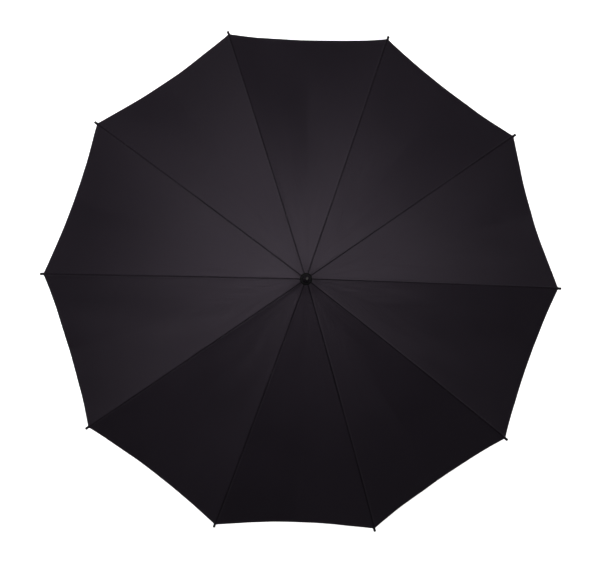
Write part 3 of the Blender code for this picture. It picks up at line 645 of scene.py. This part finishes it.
def eased(outline, radius, closed=False):
    """The outline with each corner replaced by a curve that starts and ends radius away from it."""
    p = np.asarray(outline, float)
    before, after = np.roll(p, 1, 0), np.roll(p, -1, 0)
    ends = []
    for way in (before - p, after - p):
        length = np.maximum(np.linalg.norm(way, axis=1, keepdims=True), 1e-9)
        ends.append(p + way * np.minimum(radius / length, 0.45))
    a, b = ends
    t = np.linspace(0, 1, 4)[None, :, None]
    curve = (1 - t) ** 2 * a[:, None] + 2 * t * (1 - t) * p[:, None] + t ** 2 * b[:, None]
    if closed:
        rows = curve.reshape(-1, 2)
        return np.concatenate([rows, rows[:1]])
    return np.concatenate([p[:1], curve[1:-1].reshape(-1, 2), p[-1:]])


def rib_rod(k):
    """A circle carried along the rib's centre line."""
    path = rib_point(np.linspace(ROD_FROM, ROD_TO, 90))[0]
    shape, uv = carried(path, (0, 1, 0), RIB_R * circle(14))
    return turned(shape, k), uv


def rib_fittings(k):
    """The crown eye and the bracket's sleeve and tongue; the rivet through the tongue is made with the
    stretcher.
    """
    s = np.concatenate([-EYE_R * np.cos(np.linspace(0.02, pi / 2, 8)), np.linspace(0.0006, 0.0165, 22),
                        [0.0168]])
    high = np.where(s < 0, np.sqrt(np.maximum(EYE_R ** 2 - s ** 2, 1e-9)), EYE_R)
    wide = EYE_HALF + (0.0026 - EYE_HALF) * step_at(s, 0.0088, 0.0007)
    for crimp in (0.0128, 0.0148):
        wide = wide - 0.00030 * np.exp(-((s - crimp) / 0.0006) ** 2)
    high[-1] = wide[-1] = 0.0021
    section = box_round(20)[None] * np.stack([wide, high], -1)[:, None]
    eye, _ = carried(rib_point(s)[0], (0, 1, 0), section)
    half = BRACKET_LENGTH / 2
    near = half - np.array([0.0002, 0.0015, 0.0019, 0.0024])
    s = BRACKET_AT + np.concatenate([[-half], -near, [0.0], near[::-1], [half]])
    size = BRACKET_R * np.array([0.93, 1, 1, 0.95, 1, 1, 1, 0.95, 1, 1, 0.93])
    sleeve, _ = carried(rib_point(s)[0], (0, 1, 0), circle(20)[None] * size[:, None, None])
    at, ahead, rise = rib_point(BRACKET_AT)
    down = -rise
    pivot = at + down * BRACKET_DROP
    a = np.linspace(-pi / 2, pi / 2, 12)
    outline = np.concatenate([EYE_R * np.stack([np.sin(a), np.cos(a)], -1),
                              [[EYE_R * 1.25, -BRACKET_DROP], [-EYE_R * 1.25, -BRACKET_DROP]]])
    y = np.array([-EYE_HALF, -EYE_HALF + 0.0002, EYE_HALF - 0.0002, EYE_HALF])
    grow = np.array([0.93, 1, 1, 0.93])
    ring = outline[None] * grow[:, None, None]
    rows = pivot + ring[..., :1] * ahead + ring[..., 1:] * down + y[:, None, None] * np.array([0, 1, 0])
    rows = np.concatenate([rows, rows[:, :1]], 1)
    tongue = capped(rows, pivot + y[:, None] * np.array([0, 1, 0]))
    return turned(joined([eye, sleeve, tongue]), k)


for k, number in enumerate(NUMBERS):
    shape, uv = rib_rod(k)
    rod = solid("rib_rod_" + number, shape, rod_finish, uv)
    fit(rod, "rib_" + number, "fibreglass", "rib_" + number)
    fit(solid("rib_fittings_" + number, rib_fittings(k), pressed), "rib_" + number, "stretcher")

# Tips: moulded black caps pushed on the rib ends, with a flared nose that keeps the sewn corner of
# the cloth from slipping off. A few turns of thread hold the corner to the neck.
TIP_AT = 0.7145

moulded = Finish("moulded_black_plastic", (0.006, 0.006, 0.0065), 0.30, {"Specular IOR Level": 0.07})
grain = moulded.grains(1800.0, 2.0)
moulded.feed("Roughness", grain * 0.2 + moulded.grains(40.0) * 0.15 + 0.22)
mottled = moulded.grains(90.0)
moulded.shade(mottled, (0.005, 0.005, 0.0055), (0.010, 0.010, 0.0105))
moulded.bump(grain, 0.00005)


def tip(k):
    """The cap's outline spun about the rib's end."""
    at, ahead, _ = rib_point(TIP_AT)
    profile = eased([(0.0, 0.0), (0.0030, 0.0), (0.0031, 0.0026), (0.0028, 0.0042), (0.0028, 0.0070),
                     (0.0034, 0.0100), (0.0033, 0.0120), (0.0018, 0.0130), (0.0, 0.0130)], 0.0006)
    return turned(spun(profile, at, ahead, 24), k)


def tip_thread(k):
    """Rings round the cap's neck, and two strands that rise and fall by a sine on their way to the cloth."""
    shapes = []
    at, ahead, rise = rib_point(TIP_AT + 0.0052)
    for turn in TURNS:
        shapes.append(loop(at + ahead * turn, np.array([0, 0.0030, 0]), rise * 0.0030, 0.00026))
    for side in (-1, 1):
        start = at + np.array([0, side * 0.0022, 0]) + rise * 0.0012
        end = cloth_point(np.array([HEM_AT - 0.004]), np.array([side * 0.010]), np.array([0.0008]))[0]
        t = np.linspace(0, 1, 8)[:, None]
        path = start * (1 - t) + end * t + rise * 0.0012 * np.sin(pi * t)
        shapes.append(carried(path, (0, 1, 0), 0.00024 * circle(6))[0])
    return turned(joined(shapes), k)


for k, number in enumerate(NUMBERS):
    fit(solid("tip_" + number, tip(k), moulded), "rib_" + number, "plastic", "rib_tip_" + number)
    fit(solid("tip_thread_" + number, tip_thread(k), thread, crease=80), "rib_" + number, "fabric")

# Stretchers: channels rolled from thin steel strip and lacquered black. The outer end straddles the
# bracket's tongue and turns on a rivet; the inner end is pressed flat into an eye for the wire.
PIVOT_R = 0.0140  # where the eyes turn on the runner's ring
HALF = 0.0018  # half the channel's width and height
STRIP = 0.0005  # its wall
FORK_R = 0.0026
INNER_EYE_R = 0.0019
RUNNER_Z = sum(corner.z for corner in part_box("runner_wire")) / 2

lacquer = Finish("lacquered_steel", (0.028, 0.028, 0.030), 0.3, {"Metallic": 0.3})
chips = lacquer.grains(350.0, 5.0).fades(0.74, 0.70)
flow = lacquer.noise(lacquer.place((60.0, 60.0, 60.0)), 1.0)
lacquer.shade(chips, (0.018, 0.018, 0.020), (0.16, 0.155, 0.15))
lacquer.feed("Roughness", flow * 0.25 + chips * 0.2 + 0.18)
lacquer.bump(lacquer.grains(700.0), 0.00005)


def stretcher(k):
    """A channel whose two walls stand wide apart at the fork and close up solid at the inner eye."""
    at, _, rise = rib_point(BRACKET_AT)
    outer = at - BRACKET_DROP * rise
    inner = np.array([PIVOT_R, 0, RUNNER_Z])
    run = inner - outer
    length = np.linalg.norm(run)
    a = np.concatenate([-FORK_R * np.cos(np.linspace(0.05, pi / 2, 7)), np.linspace(0.001, 0.016, 14),
                        np.linspace(0.02, length - 0.02, 20), np.linspace(length - 0.016, length, 14),
                        length + INNER_EYE_R * np.sin(np.linspace(0.2, pi / 2 - 0.05, 6))])
    fork = 1 - step_at(a, 0.011, 0.0011)
    flat = step_at(a, length - 0.008, 0.0009)
    wide = HALF + 0.0009 * fork - (HALF - 0.0012) * flat
    gap = (wide - STRIP - 0.0005 * fork) * (1 - flat) + 0.0001 * flat
    high = HALF + 0.0008 * fork
    high = np.where(a < 0, np.sqrt(np.maximum(FORK_R ** 2 - a ** 2, 1e-9)), high)
    past = np.maximum(a - length, 0)
    high = np.where(a > length, np.sqrt(np.maximum(INNER_EYE_R ** 2 - past ** 2, 1e-9)), high)
    floor_at = (-high + STRIP) * (1 - flat) + (high - 0.0001) * flat
    floor_at = np.where(a < 0.0075, np.minimum(floor_at, high), floor_at)
    corner = np.array([[-1, 0, 1, 0], [-1, 0, -1, 0], [1, 0, -1, 0], [1, 0, 1, 0],
                       [0, 1, 1, 0], [0, 1, 0, 1], [0, -1, 0, 1], [0, -1, 1, 0]], float)
    side = corner[:, 0] * wide[:, None] + corner[:, 1] * gap[:, None]
    up = corner[:, 2] * high[:, None] + corner[:, 3] * floor_at[:, None]
    section = np.stack([side, up], -1)
    before, after = np.roll(section, 1, 1), np.roll(section, -1, 1)
    near = np.stack([section * 0.9 + before * 0.1, section * 0.9 + after * 0.1], 2)
    near = near.reshape(len(a), 16, 2)
    path = outer + run * (a / length)[:, None]
    shape, uv = carried(path, (0, -1, 0), near)
    return turned(shape, k), uv, outer


def rivet(centre, half_width):
    """A pin across the fork with a domed head on each side: half an outline, and its mirror."""
    head = 0.0018
    upper = np.array([(RIVET_R, half_width - 0.0001), (head, half_width), (head * 0.9, half_width + 0.0003),
                      (head * 0.5, half_width + 0.0007), (0, half_width + 0.0008)])
    return spun(np.concatenate([upper[::-1] * (1, -1), upper]), centre, (0, 1, 0), 16)


for k, number in enumerate(NUMBERS):
    shape, uv, outer = stretcher(k)
    fit(solid("stretcher_bar_" + number, shape, lacquer, uv, crease=40),
        "stretcher_" + number, "stretcher", "stretcher_" + number)
    head = solid("rivet_" + number, turned(rivet(outer, 0.0027), k), bright)
    fit(head, "stretcher_" + number, "bright_steel")

# Crown: a moulded disc, notched for the ten rib eyes, pinned on the shaft. A steel wire is threaded
# through the eyes and lies in a groove; a felt washer keeps the cloth off it.
SHAFT_R = 0.0070
BORE_R = 0.0072
CORE_R = 0.0088
NOTCH_HALF = 0.0015
crown_low, crown_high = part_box("crown_notch")


def notched(profile, core, half, cut_from, count, sides=9):
    """A spun outline whose points above core fall back to core between parallel walls, half to
    each side of count radial lines, where their height is above cut_from."""
    profile = np.asarray(profile, float)
    cut = (profile[:, 0] > core) & (profile[:, 1] >= cut_from)
    reach = np.where(cut, profile[:, 0], core)
    columns = []
    for n in range(count):
        middle = n * 2 * pi / count
        edge = np.arcsin(half / reach)
        at_core = np.full(len(profile), np.arcsin(half / core))
        slot_r = np.where(cut, core, profile[:, 0])
        columns += [(slot_r, middle + way * at_core) for way in (-1, 0, 1)]
        for share in np.linspace(0, 1, sides):
            columns.append((profile[:, 0], middle + edge + (2 * pi / count - 2 * edge) * share))
    columns.append((columns[0][0], columns[0][1] + 2 * pi))
    radius = np.stack([c[0] for c in columns], 1)
    angle = np.stack([c[1] for c in columns], 1)
    height = np.broadcast_to(profile[:, 1:], radius.shape)
    points = np.stack([radius * np.cos(angle), radius * np.sin(angle), height], -1)
    return points.reshape(-1, 3), grid_faces(*radius.shape)


def ring_of_wire(radius, height, wire):
    """A circle of the wire's radius spun about the shaft at that radius and height."""
    b, a = np.meshgrid(np.linspace(0, 2 * pi, 11), np.linspace(0, 2 * pi, 81), indexing="ij")
    out = radius + wire * np.cos(b)
    points = np.stack([out * np.cos(a), out * np.sin(a), height + wire * np.sin(b)], -1)
    return points.reshape(-1, 3), grid_faces(11, 81)


def on_shaft(name, profile, finish, slot, node, sides=72, crease=45):
    """The outline, in the shaft's own distances and heights, spun about it."""
    piece = solid(name, spun(profile, (0, 0, 0), (0, 0, 1), sides), finish, crease=crease)
    return fit(piece, "shaft", slot, node)


CROWN_R = crown_high.x
profile = eased([(BORE_R, crown_low.z), (CROWN_R, crown_low.z), (CROWN_R, crown_high.z),
                 (BORE_R, crown_high.z)], 0.0005, closed=True)
fit(solid("crown", notched(profile, CORE_R, NOTCH_HALF, 0.0, RIBS), moulded, crease=40),
    "shaft", "plastic", "crown_notch")
crown_ring = solid("crown_ring", ring_of_wire(HINGE_R, HINGE_Z, WIRE_R), bright)
fit(crown_ring, "shaft", "bright_steel", "crown_wire")

felt = Finish("pressed_felt", (0.012, 0.012, 0.012), 0.95, {"Sheen Weight": 0.4})
fuzz = felt.grains(2200.0, 5.0)
felt.bump(fuzz, 0.0003)
felt.shade(fuzz, (0.006, 0.006, 0.006), (0.025, 0.025, 0.026))
washer_low, washer_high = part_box("canopy_washer")
profile = eased([(BORE_R, washer_low.z), (washer_high.x, washer_low.z), (washer_high.x, washer_high.z),
                 (BORE_R, washer_high.z)], 0.0003, closed=True)
on_shaft("felt_washer", profile, felt, "felt", "canopy_washer", sides=64, crease=32)

# Canopy centre, cap and ferrule: the ten gores meet in a small disc of cloth under a moulded cap
# with stepped rings. The turned ferrule holds the cap down; its point is worn by pavements.
DISC_FROM = 0.0078
DISC_TO = 0.0132


def centre_disc():
    """A ring of cloth with the canopy's own height, from the shaft out under the cap."""
    r, a = np.meshgrid(np.linspace(DISC_FROM, DISC_TO, 12), np.linspace(0, 2 * pi, 121), indexing="ij")
    rows, columns = r.shape
    t = ((a / STEP + 0.5) % 1.0) - 0.5
    s = (r - HINGE_R) / cos(SLOPE_IN)
    z = cloth_point(s, t, np.full_like(s, CLOTH_TOP))[..., 2]
    top = np.stack([r * np.cos(a), r * np.sin(a), z], -1)
    faces = grid_faces(rows, columns)
    bottom = top - [0, 0, CLOTH_TOP - CLOTH_FOOT]
    points, faces = joined([(top.reshape(-1, 3), faces), (bottom.reshape(-1, 3), faces[:, ::-1])])
    around = np.arange(columns - 1)
    rim = np.concatenate([around, (rows - 1) * columns + around])
    walls = np.stack([rim, rim + 1, rim + 1 + r.size, rim + r.size], -1)
    return (points, np.concatenate([faces, walls])), points[:, :2]


shape, uv = centre_disc()
fit(solid("canopy_centre", shape, cloth, uv), "shaft", "fabric")

cap_low, cap_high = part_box("top_cap")
CAP_R = cap_high.x
CAP_SKIRT = 0.0012  # how far the rim reaches down to the cloth
profile = eased([
    (BORE_R, cap_low.z), (CAP_R - 0.0012, cap_low.z - 0.0008), (CAP_R - 0.0003, cap_low.z - CAP_SKIRT),
    (CAP_R, cap_low.z - CAP_SKIRT + 0.0004), (CAP_R, cap_low.z + 0.0010),
    (CAP_R - 0.0010, cap_low.z + 0.0021), (CAP_R - 0.0024, cap_low.z + 0.0030),
    (CAP_R - 0.0026, cap_low.z + 0.0036), (CAP_R - 0.0048, cap_high.z - 0.0014),
    (CAP_R - 0.0050, cap_high.z - 0.0004),
    (0.0096, cap_high.z), (BORE_R, cap_high.z)], 0.0004, closed=True)
on_shaft("cap", profile, moulded, "plastic", "top_cap")

foot, point = (corner.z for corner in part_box("ferrule"))
spike = Finish("glossy_ferrule", (0.02, 0.02, 0.022), 0.22, {"Metallic": 0.6})
_, _, spike_z = spike.parts(spike.node("ShaderNodeTexCoord", output=3))
scuffs = spike.grains(420.0, 5.0)
worn = (spike_z + scuffs * 0.006).fades(point + 0.0030, point + 0.0008)
spike.shade(worn, (0.010, 0.010, 0.011), (0.08, 0.078, 0.075))
spike.feed("Roughness", worn * 0.25 + scuffs * 0.18 + 0.14)
spike.bump(scuffs, 0.00006)
profile = eased([
    (0, foot + 0.0006), (0.0078, foot + 0.0006), (0.0078, foot), (0.0090, foot), (0.0090, foot + 0.0030),
    (0.0085, foot + 0.0034), (0.0085, foot + 0.0046), (0.0089, foot + 0.0050), (0.0084, foot + 0.0078),
    (0.0084, point - 0.0320), (0.0080, point - 0.0312), (0.0080, point - 0.0300), (0.0083, point - 0.0292),
    (0.0066, point - 0.0180), (0.0042, point - 0.0070), (0.0041, point - 0.0050), (0.0036, point - 0.0018),
    (0.0020, point - 0.0002), (0, point)], 0.0006)
on_shaft("spike", profile, spike, "ferrule", "ferrule", sides=64)

# Shaft: seamed steel tube, lacquered black, with windows for the two spring catches and a pin
# through it that stops the runner at the top.
def tube(rows, outer, inner, windows):
    """A tube as a grid of cells round and up it. Cells inside a window are left out, and walls join
    the outer and inner skins round every window and at both ends."""
    angle = np.arange(72) * 2 * pi / 72
    rows = np.asarray(rows, float)
    cuts = [(azimuth, np.arcsin(half / SHAFT_R), low, high) for azimuth, half, low, high in windows]
    extra_angles = [c[0] + sign * c[1] for c in cuts for sign in (-1, 1)]
    extra_rows = [z for c in cuts for z in c[2:]]
    angle = np.unique(np.round(np.concatenate([angle, np.array(extra_angles) % (2 * pi)]), 6))
    height = np.unique(np.round(np.concatenate([rows, extra_rows]), 6))
    angle = np.append(angle, angle[0] + 2 * pi)
    mid_angle = (angle[1:] + angle[:-1]) / 2
    mid_height = (height[1:] + height[:-1]) / 2
    kept = np.ones((len(mid_height), len(mid_angle)), bool)
    for azimuth, half, low, high in cuts:
        beside = np.abs((mid_angle - azimuth + pi) % (2 * pi) - pi) < half
        within = (mid_height > low) & (mid_height < high)
        kept &= ~(within[:, None] & beside[None, :])
    skins = []
    for radius in (outer(height), np.full(len(height), inner)):
        skins.append(np.stack([radius[:, None] * np.cos(angle), radius[:, None] * np.sin(angle),
                               np.broadcast_to(height[:, None], (len(height), len(angle)))], -1))
    points = np.concatenate([s.reshape(-1, 3) for s in skins])
    columns = len(angle)
    count = len(height) * columns
    faces = grid_faces(len(height), columns)[kept.ravel()]
    inside = faces[:, ::-1] + count
    padded = np.pad(kept, ((1, 1), (0, 0)))
    level = np.argwhere(padded[1:] != padded[:-1])
    start = level[:, 0] * columns + level[:, 1]
    level_walls = np.stack([start, start + 1, start + 1 + count, start + count], -1)
    looped = np.concatenate([kept[:, -1:], kept], 1)
    upright = np.argwhere(looped[:, 1:] != looped[:, :-1])
    start = upright[:, 0] * columns + upright[:, 1]
    upright_walls = np.stack([start, start + columns, start + columns + count, start + count], -1)
    uv = np.stack([np.tile(angle * SHAFT_R, len(height)), np.repeat(height, columns)], -1)
    return (points, np.concatenate([faces, inside, level_walls, upright_walls])), np.concatenate([uv, uv])


CATCH_AZIMUTH = STEP / 2
CATCH_HALF = 0.0014
NOSE_H = 0.018
SLIT = 0.0003  # between a catch and its window
ANCHOR_H = 0.0023
TUBE_WALL = 0.001
tube_low, tube_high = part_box("shaft_tube")
runner_low, runner_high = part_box("runner")
catch_low, catch_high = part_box("top_catch")
base_low, base_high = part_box("bottom_catch")
spans = [(catch_high.z - NOSE_H, catch_high.z + SLIT), (catch_low.z - SLIT, catch_low.z + ANCHOR_H),
         (base_low.z - SLIT, base_low.z + NOSE_H), (base_high.z - ANCHOR_H, base_high.z + SLIT)]
windows = [(CATCH_AZIMUTH, CATCH_HALF, *span) for span in spans]

PAINT = (0.014, 0.014, 0.016)
RUBBED = (0.045, 0.045, 0.047)
shaft_paint = Finish("shaft_lacquer", (0.018, 0.018, 0.020), 0.22,
                     {"Metallic": 0.2, "Coat Roughness": 0.08})
rubs = shaft_paint.noise(shaft_paint.place((900.0, 900.0, 6.0)), 1.0, 4.0)
smears = shaft_paint.noise(shaft_paint.place((25.0, 25.0, 25.0)), 1.0)
shaft_paint.feed("Roughness", rubs * 0.16 + smears * 0.14 + 0.10)
shaft_paint.shade(rubs.fades(0.72, 0.60), PAINT, RUBBED)
shaft_paint.feed("Coat Weight", 0.4)
shaft_paint.bump(rubs, 0.00003)
shape, uv = tube(np.linspace(tube_low.z, tube_high.z, 40), lambda z: np.full(len(z), SHAFT_R),
                 SHAFT_R - TUBE_WALL, windows)
fit(solid("shaft_lacquered", shape, shaft_paint, uv), "shaft", "shaft", "shaft_tube")


CATCH_EDGE = 0.00015


def softened(node, name, finish):
    """A copy of a flat-sided CAD node with its edges rounded by a small bevel."""
    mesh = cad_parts[node].data.copy()
    mesh.materials.clear()
    mesh.materials.append(finish.data)
    bm = bmesh.new()
    bm.from_mesh(mesh)
    bmesh.ops.remove_doubles(bm, verts=bm.verts, dist=1e-6)
    bmesh.ops.dissolve_limit(bm, angle_limit=radians(2), verts=bm.verts, edges=bm.edges)
    bm.to_mesh(mesh)
    bm.free()
    mesh.shade_smooth()
    mesh.set_sharp_from_angle(angle=radians(32))
    piece = linked(name, mesh)
    bevel = piece.modifiers.new("edges", "BEVEL")
    bevel.width = CATCH_EDGE
    bevel.segments = 2
    bevel.limit_method = "ANGLE"
    return piece


for node, name in (("top_catch", "catch_upper"), ("bottom_catch", "catch_lower")):
    fit(softened(node, name, bright), node, "bright_steel", node)
pin_z = sum(corner.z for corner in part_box("stop_pin")) / 2
PIN_AZIMUTH = STEP / 2 + pi / 2
PIN_REACH = 0.0095
PIN_R = 0.0010
profile = eased([(0, -PIN_REACH), (PIN_R, -PIN_REACH), (PIN_R, PIN_REACH), (0, PIN_REACH)], 0.0003)
shape = spun(profile, (0, 0, pin_z), (cos(PIN_AZIMUTH), sin(PIN_AZIMUTH), 0), 20)
fit(solid("pin", shape, bright), "shaft", "bright_steel", "stop_pin")

# Runner: a moulded sleeve that slides on the shaft, with a notched flange in which the stretchers'
# eyes turn on a wire ring, a window for the catches and a ribbed finger rim at its foot.
RUNNER_CORE = 0.0103
RUNNER_NOTCH = 0.0021
RING_R = 0.0112
RING_WIRE = 0.0006
SLEEVE_R = 0.0096
RIM_R = 0.0106
RIM_H = 0.008
RUNNER_WINDOW = 0.040  # from the ring down to its foot
FLANGE_R = runner_high.x
flange_foot = RUNNER_Z - 0.0040
flange_top = runner_high.z
profile = eased([(BORE_R, flange_foot - 0.0010), (SLEEVE_R + 0.0002, flange_foot - 0.0010),
                 (SLEEVE_R + 0.0006, flange_foot), (FLANGE_R, flange_foot), (FLANGE_R, flange_top),
                 (BORE_R, flange_top)], 0.0006, closed=True)
flange = notched(profile, RUNNER_CORE, RUNNER_NOTCH, flange_foot - 0.0001, RIBS)
runner_foot = runner_low.z


def sleeve_radius(z):
    """The finger rim at the foot with three shallow grooves, then the plain sleeve."""
    up = z - runner_foot
    rim = 1 - step_at(up, RIM_H + 0.0012, 0.0005)
    grooves = sum(np.exp(-((up - at) / 0.00035) ** 2) for at in (0.0022, 0.0040, 0.0058))
    ease = np.exp(-up / 0.0003)
    return SLEEVE_R + (RIM_R - SLEEVE_R) * rim - 0.0004 * grooves * rim - 0.0005 * ease


window = [(CATCH_AZIMUTH, CATCH_HALF, RUNNER_Z - RUNNER_WINDOW, RUNNER_Z - RUNNER_WINDOW + NOSE_H)]
heights = np.concatenate([runner_foot + np.linspace(0, 0.011, 56),
                          np.linspace(runner_foot + 0.012, flange_foot - 0.001, 24)])
sleeve, _ = tube(heights, sleeve_radius, BORE_R, window)
fit(solid("runner_sleeve", sleeve, moulded, crease=45), "runner", "plastic", "runner")
fit(solid("runner_flange", flange, moulded, crease=40), "runner", "plastic")
runner_ring = solid("runner_ring", ring_of_wire(RING_R, RUNNER_Z, RING_WIRE), bright)
fit(runner_ring, "runner", "bright_steel", "runner_wire")

# Handle: a straight grip of closed-cell foam with two shallow rings, between a moulded collar on
# the shaft and a moulded end cap.
foam = Finish("fine_foam", (0.010, 0.010, 0.011), 0.85, {"Specular IOR Level": 0.12})
cells = foam.node("ShaderNodeTexVoronoi", sockets={"Vector": foam.place(), "Scale": 950.0})
mottle = foam.grains(130.0, 4.0)
foam.bump(cells * 0.8 + mottle * 0.5, 0.0004)
foam.shade(mottle, (0.005, 0.005, 0.0055), (0.014, 0.014, 0.0145))
foam.feed("Roughness", mottle * 0.12 + 0.78)
GRIP_R = 0.0160
GRIP_WAIST = 0.0010
GRIP_ROUND = 0.0009
GRIP_RINGS = (0.009, 0.0125)  # from each end
RING_DEPTH = 0.0006
grip_low, grip_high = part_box("handle_grip")
up = np.linspace(0, 1, 90)
grip_z = grip_low.z + (grip_high.z - grip_low.z) * up
from_end = np.minimum(grip_z - grip_low.z, grip_high.z - grip_z)
grip_r = GRIP_R - GRIP_WAIST * np.sin(pi * up) - GRIP_ROUND * np.exp(-from_end / 0.0007)
for at in GRIP_RINGS:
    grip_r = grip_r - RING_DEPTH * np.exp(-((from_end - at) / 0.0009) ** 2)
inner = [(BORE_R, grip_low.z), (BORE_R, grip_high.z)]
profile = np.concatenate([inner[:1], np.stack([grip_r, grip_z], -1), inner[::-1]])
grip = solid("grip", spun(profile, (0, 0, 0), (0, 0, 1), 72), foam, crease=50)
fit(grip, "shaft", "foam", "handle_grip")

foot, top = (corner.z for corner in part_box("handle_collar"))
profile = eased([(BORE_R, foot), (0.0158, foot), (0.0160, foot + 0.0006), (0.0160, foot + 0.0030),
                 (0.0156, foot + 0.0033), (0.0156, foot + 0.0039), (0.0159, foot + 0.0042),
                 (0.0158, foot + 0.0058), (0.0135, foot + 0.0085), (0.0110, foot + 0.0115),
                 (0.0101, top), (BORE_R, top)], 0.0006, closed=True)
on_shaft("collar", profile, moulded, "plastic", "handle_collar")

end_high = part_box("handle_end_cap")[1]
END_R = end_high.x
profile = eased([(0, 0.0006), (0.0105, 0.0006), (0.0112, 0.0), (END_R - 0.0018, 0.0), (END_R, 0.0022),
                 (END_R, 0.0068), (END_R - 0.0004, 0.0071), (END_R - 0.0004, 0.0078), (END_R, 0.0081),
                 (END_R, 0.0097), (END_R - 0.0004, 0.0100), (0.0057, 0.0100), (0.0057, end_high.z),
                 (0, end_high.z)], 0.0006)
on_shaft("end_cap", profile, moulded, "plastic", "handle_end_cap")

# Tie strap: a folded band of the canopy's cloth, sewn to the underside beside the seventh seam,
# with a press stud near its free end. It goes round the closed canopy.
STRAP_RIB = 6  # counted from 0
STRAP_FROM = 0.47
STRAP_LONG = 0.170
STRAP_WIDE = 0.016
STRAP_OFF = 0.005  # from the seam
STRAP_TOP = -0.0012  # below the cloth's middle
STRAP_FOOT = -0.0022
STUD_FROM_END = 0.012
strap_end = STRAP_FROM + STRAP_LONG


def strap_grid(out):
    """Points beside the seam, at height out; the last 8 mm narrow as a half circle does."""
    s, w = np.meshgrid(np.linspace(STRAP_FROM, strap_end, 60),
                       np.linspace(STRAP_OFF, STRAP_OFF + STRAP_WIDE, 13), indexing="ij")
    past = np.maximum(s - (strap_end - 0.008), 0)
    narrow = np.sqrt(np.clip(1 - (past / 0.0081) ** 2, 0.02, 1))
    middle = STRAP_OFF + STRAP_WIDE / 2
    w = middle + (w - middle) * narrow
    t = w / (2 * rib_line(s)[0] * sin(STEP / 2))
    return cloth_point(s, t, np.full_like(s, out)), np.stack([w, s + 0.4], -1).reshape(-1, 2)


(strap_top, uv), (strap_foot, _) = strap_grid(STRAP_TOP), strap_grid(STRAP_FOOT)
points, faces = thick_sheet(strap_top, strap_foot)
strap = solid("strap", turned((points, faces), STRAP_RIB), cloth, np.concatenate([uv, uv]))
fit(strap, "rib_07", "fabric", "tie_strap")

snap_s = strap_end - STUD_FROM_END
snap_t = (STRAP_OFF + STRAP_WIDE / 2) / (2 * rib_line(snap_s)[0] * sin(STEP / 2))
level = np.array([STRAP_FOOT, STRAP_FOOT - 0.001])
stud_at, stud_below = cloth_point(np.full(2, snap_s), np.full(2, snap_t), level)
profile = eased([(0, 0), (0.0050, 0), (0.0050, 0.0005), (0.0044, 0.0010), (0.0032, 0.0010), (0.0029, 0.0006),
                 (0.0018, 0.0006), (0.0014, 0.0010), (0, 0.0011)], 0.0003)
points, faces = spun(profile, stud_at, unit_rows(stud_below - stud_at), 32)
stud = solid("press_stud", turned((points, faces), STRAP_RIB), bright)
fit(stud, "rib_07", "bright_steel", "tie_snap")
